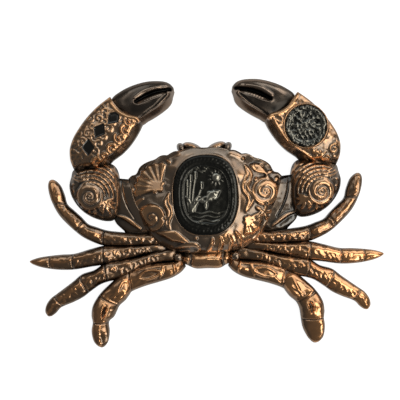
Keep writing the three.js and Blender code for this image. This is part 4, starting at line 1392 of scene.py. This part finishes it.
# Each mark is what is drawn, where along the leg and across it, and its sizes.
LEG_1_MARKS = [
    (draw_swell, 0.04, 0.3, (0.36, 0.36), 0.5, 0.2),
    (draw_chasing, 0.05, 0.31, (0.3, 0.8), 22, 61, 0.3),
    (draw_curl, 0.22, 0.52, 0.55),
    (draw_line, 0.34, 0.48, (0.36, 0.44), 0.34),
    (draw_swell, 0.37, 0.44, (0.56, 0.6), 0.5, 0.3),
    (draw_curl, 0.355, 0.55, 0.5),
    (draw_chasing, 0.4, 0.49, (0.4, 0.75), 5, 62),
    (draw_swell, 0.52, 0.67, (0.6, 0.6), 0.7, 0.2),
    (draw_chasing, 0.53, 0.67, (0.35, 0.7), 7, 63, 0.2),
    (draw_swell, 0.72, 0.95, (0.55, 0.55), 0.6, 0.15),
    (draw_chasing, 0.73, 0.94, (0.4, 0.7), 6, 64, 0.16),
]
LEG_2_MARKS = [
    (draw_swell, 0.06, 0.34, (0.3, 0.26), 0.45, 0.22),
    (draw_chasing, 0.1, 0.36, (0.36, 0.84), 34, 65, 0.32),
    (draw_swell, 0.38, 0.54, (0.34, 0.3), 0.6, 0.2),
    (draw_chasing, 0.39, 0.54, (0.3, 0.8), 12, 66, 0.26),
    (draw_swell, 0.58, 0.7, (0.4, 0.4), 0.6, 0.2),
    (draw_chasing, 0.58, 0.71, (0.4, 0.75), 3, 67, 0.15),
    (draw_swell, 0.75, 0.93, (0.42, 0.48), 0.5, 0.15),
]
LEG_3_MARKS = [
    (draw_swell, 0.06, 0.3, (0.3, 0.26), 0.45, 0.22),
    (draw_chasing, 0.08, 0.27, (0.36, 0.8), 17, 68, 0.32),
    (draw_curl, 0.3, 0.46, 0.75),
    (draw_swell, 0.38, 0.48, (0.3, 0.34), 0.5, 0.3),
    (draw_chasing, 0.37, 0.5, (0.25, 0.8), 10, 69, 0.3),
    (draw_swell, 0.54, 0.71, (0.34, 0.4), 0.6, 0.25),
    (draw_chasing, 0.54, 0.72, (0.3, 0.75), 11, 70, 0.3),
    (draw_chasing, 0.77, 0.92, (0.34, 0.64), 4, 71, 0.18),
]
LEG_4_MARKS = [
    (draw_line, 0.1, 0.315, (0.17, 0.15), 0.3, 0.2),
    (draw_strokes, 0.1, 0.1, 1, 0.12, 0.85, 0.0, 0.36, 0.5),
    (draw_strokes, 0.165, 0.165, 1, 0.12, 0.8, 0.02, 0.44, 0.34),
    (draw_swell, 0.12, 0.14, (0.5, 0.5), 0.7, 0.3),
    (draw_loop, (0.24, 0.5), (0.055, 0.2), 0.34, 0.4),
    (draw_line, 0.28, 0.315, (0.6, 0.8), 0.3, 0.25),
    (draw_swell, 0.36, 0.38, (0.4, 0.3), 0.6, 0.35),
    (draw_line, 0.4, 0.52, (0.3, 0.62), 0.34, 0.4),
    (draw_line, 0.42, 0.52, (0.62, 0.5), 0.3, 0.3),
    (draw_swell, 0.42, 0.5, (0.75, 0.75), 0.7, 0.3, 0.1),
    (draw_swell, 0.58, 0.68, (0.5, 0.5), 1.4, 0.3, -0.05),
    (draw_line, 0.575, 0.695, (0.4, 0.46), 0.34, 0.6),
    (draw_line, 0.575, 0.695, (0.66, 0.6), 0.34, 0.6),
    (draw_line, 0.59, 0.68, (0.52, 0.53), 0.4, -0.5),
]
LEG_COPPER = plated(
    "leg_copper", hollow=(0.018, 0.013, 0.01), plain=(0.28, 0.17, 0.097),
    height=(0.86, 0.415, 0.165), gloss=0.7,
)
# Painted shade along the rims of every leg.
LEG_RIM_SHADE = -0.36
LEG_WAVER = 0.035
FRONT, SECOND, THIRD, REAR = 1, 2, 3, 4
# Painted light and shade ramped from root to tip, set differently on each side: mostly darker at the root, as
# shade under the shell, and brighter to the tip, most on the right second and third legs, as sheen.
LEG_PAINTED_LIGHT = {
    FRONT: {"left": (-0.16, 0.16), "right": (0.02, 0.04)},
    SECOND: {"left": (-0.22, 0.12), "right": (-0.12, 0.5)},
    THIRD: {"left": (-0.22, 0.12), "right": (-0.12, 0.42)},
    REAR: {"left": (0.2, 0.18), "right": (0.16, 0.24)},
}
LEGS = {
    FRONT: (spread(LEG_1_RUNGS, 5, 0.0, 0.28), (0.32, 0.5, 0.693), LEG_1_MARKS, (230, 56)),
    SECOND: (spread(LEG_2_RUNGS, 5, 0.28, 0.28), (0.368, 0.555, 0.727), LEG_2_MARKS, (230, 56)),
    THIRD: (spread(LEG_3_RUNGS, 6, 0.28, 0.28), (0.357, 0.515, 0.735), LEG_3_MARKS, (240, 56)),
    REAR: (spread(LEG_4_RUNGS, 5, 0.28, 0.0), (0.333, 0.54, 0.735), LEG_4_MARKS, (230, 66)),
}
for number, (rungs, joints, marks, steps) in LEGS.items():
    for side, hand, foot_rungs in ((-1, "left", WAISTED_FOOT), (1, "right", STRAIGHT_FOOT)):
        limb = Limb(rungs + foot_rungs if number == REAR else rungs)
        chased = Relief(*limb.bounds())
        pebbled(chased, 50 + 2 * number + side, 0.03, 1.6)
        pebbled(chased, 70 + 2 * number + side, 0.1, 2.8)
        for draw, *sizes in marks:
            draw(chased, limb, *sizes)
        if number == REAR and hand == "left":
            draw_strokes(chased, limb, 0.77, 0.93, 6, 0.3, 0.52, -0.035, 0.3, 0.13)
        wear_and_light_ramp = LEG_PAINTED_LIGHT[number][hand]
        form = limb_surface(
            limb, chased, joints=joints, wear_and_light_ramp=wear_and_light_ramp, rim_light_and_shade=LEG_RIM_SHADE, waver=LEG_WAVER
        )
        leg = casting(f"leg_casting_{hand}_{number}", *steps, form, side=side)
        keep(leg, LEG_COPPER, f"leg_{hand}_{number}")
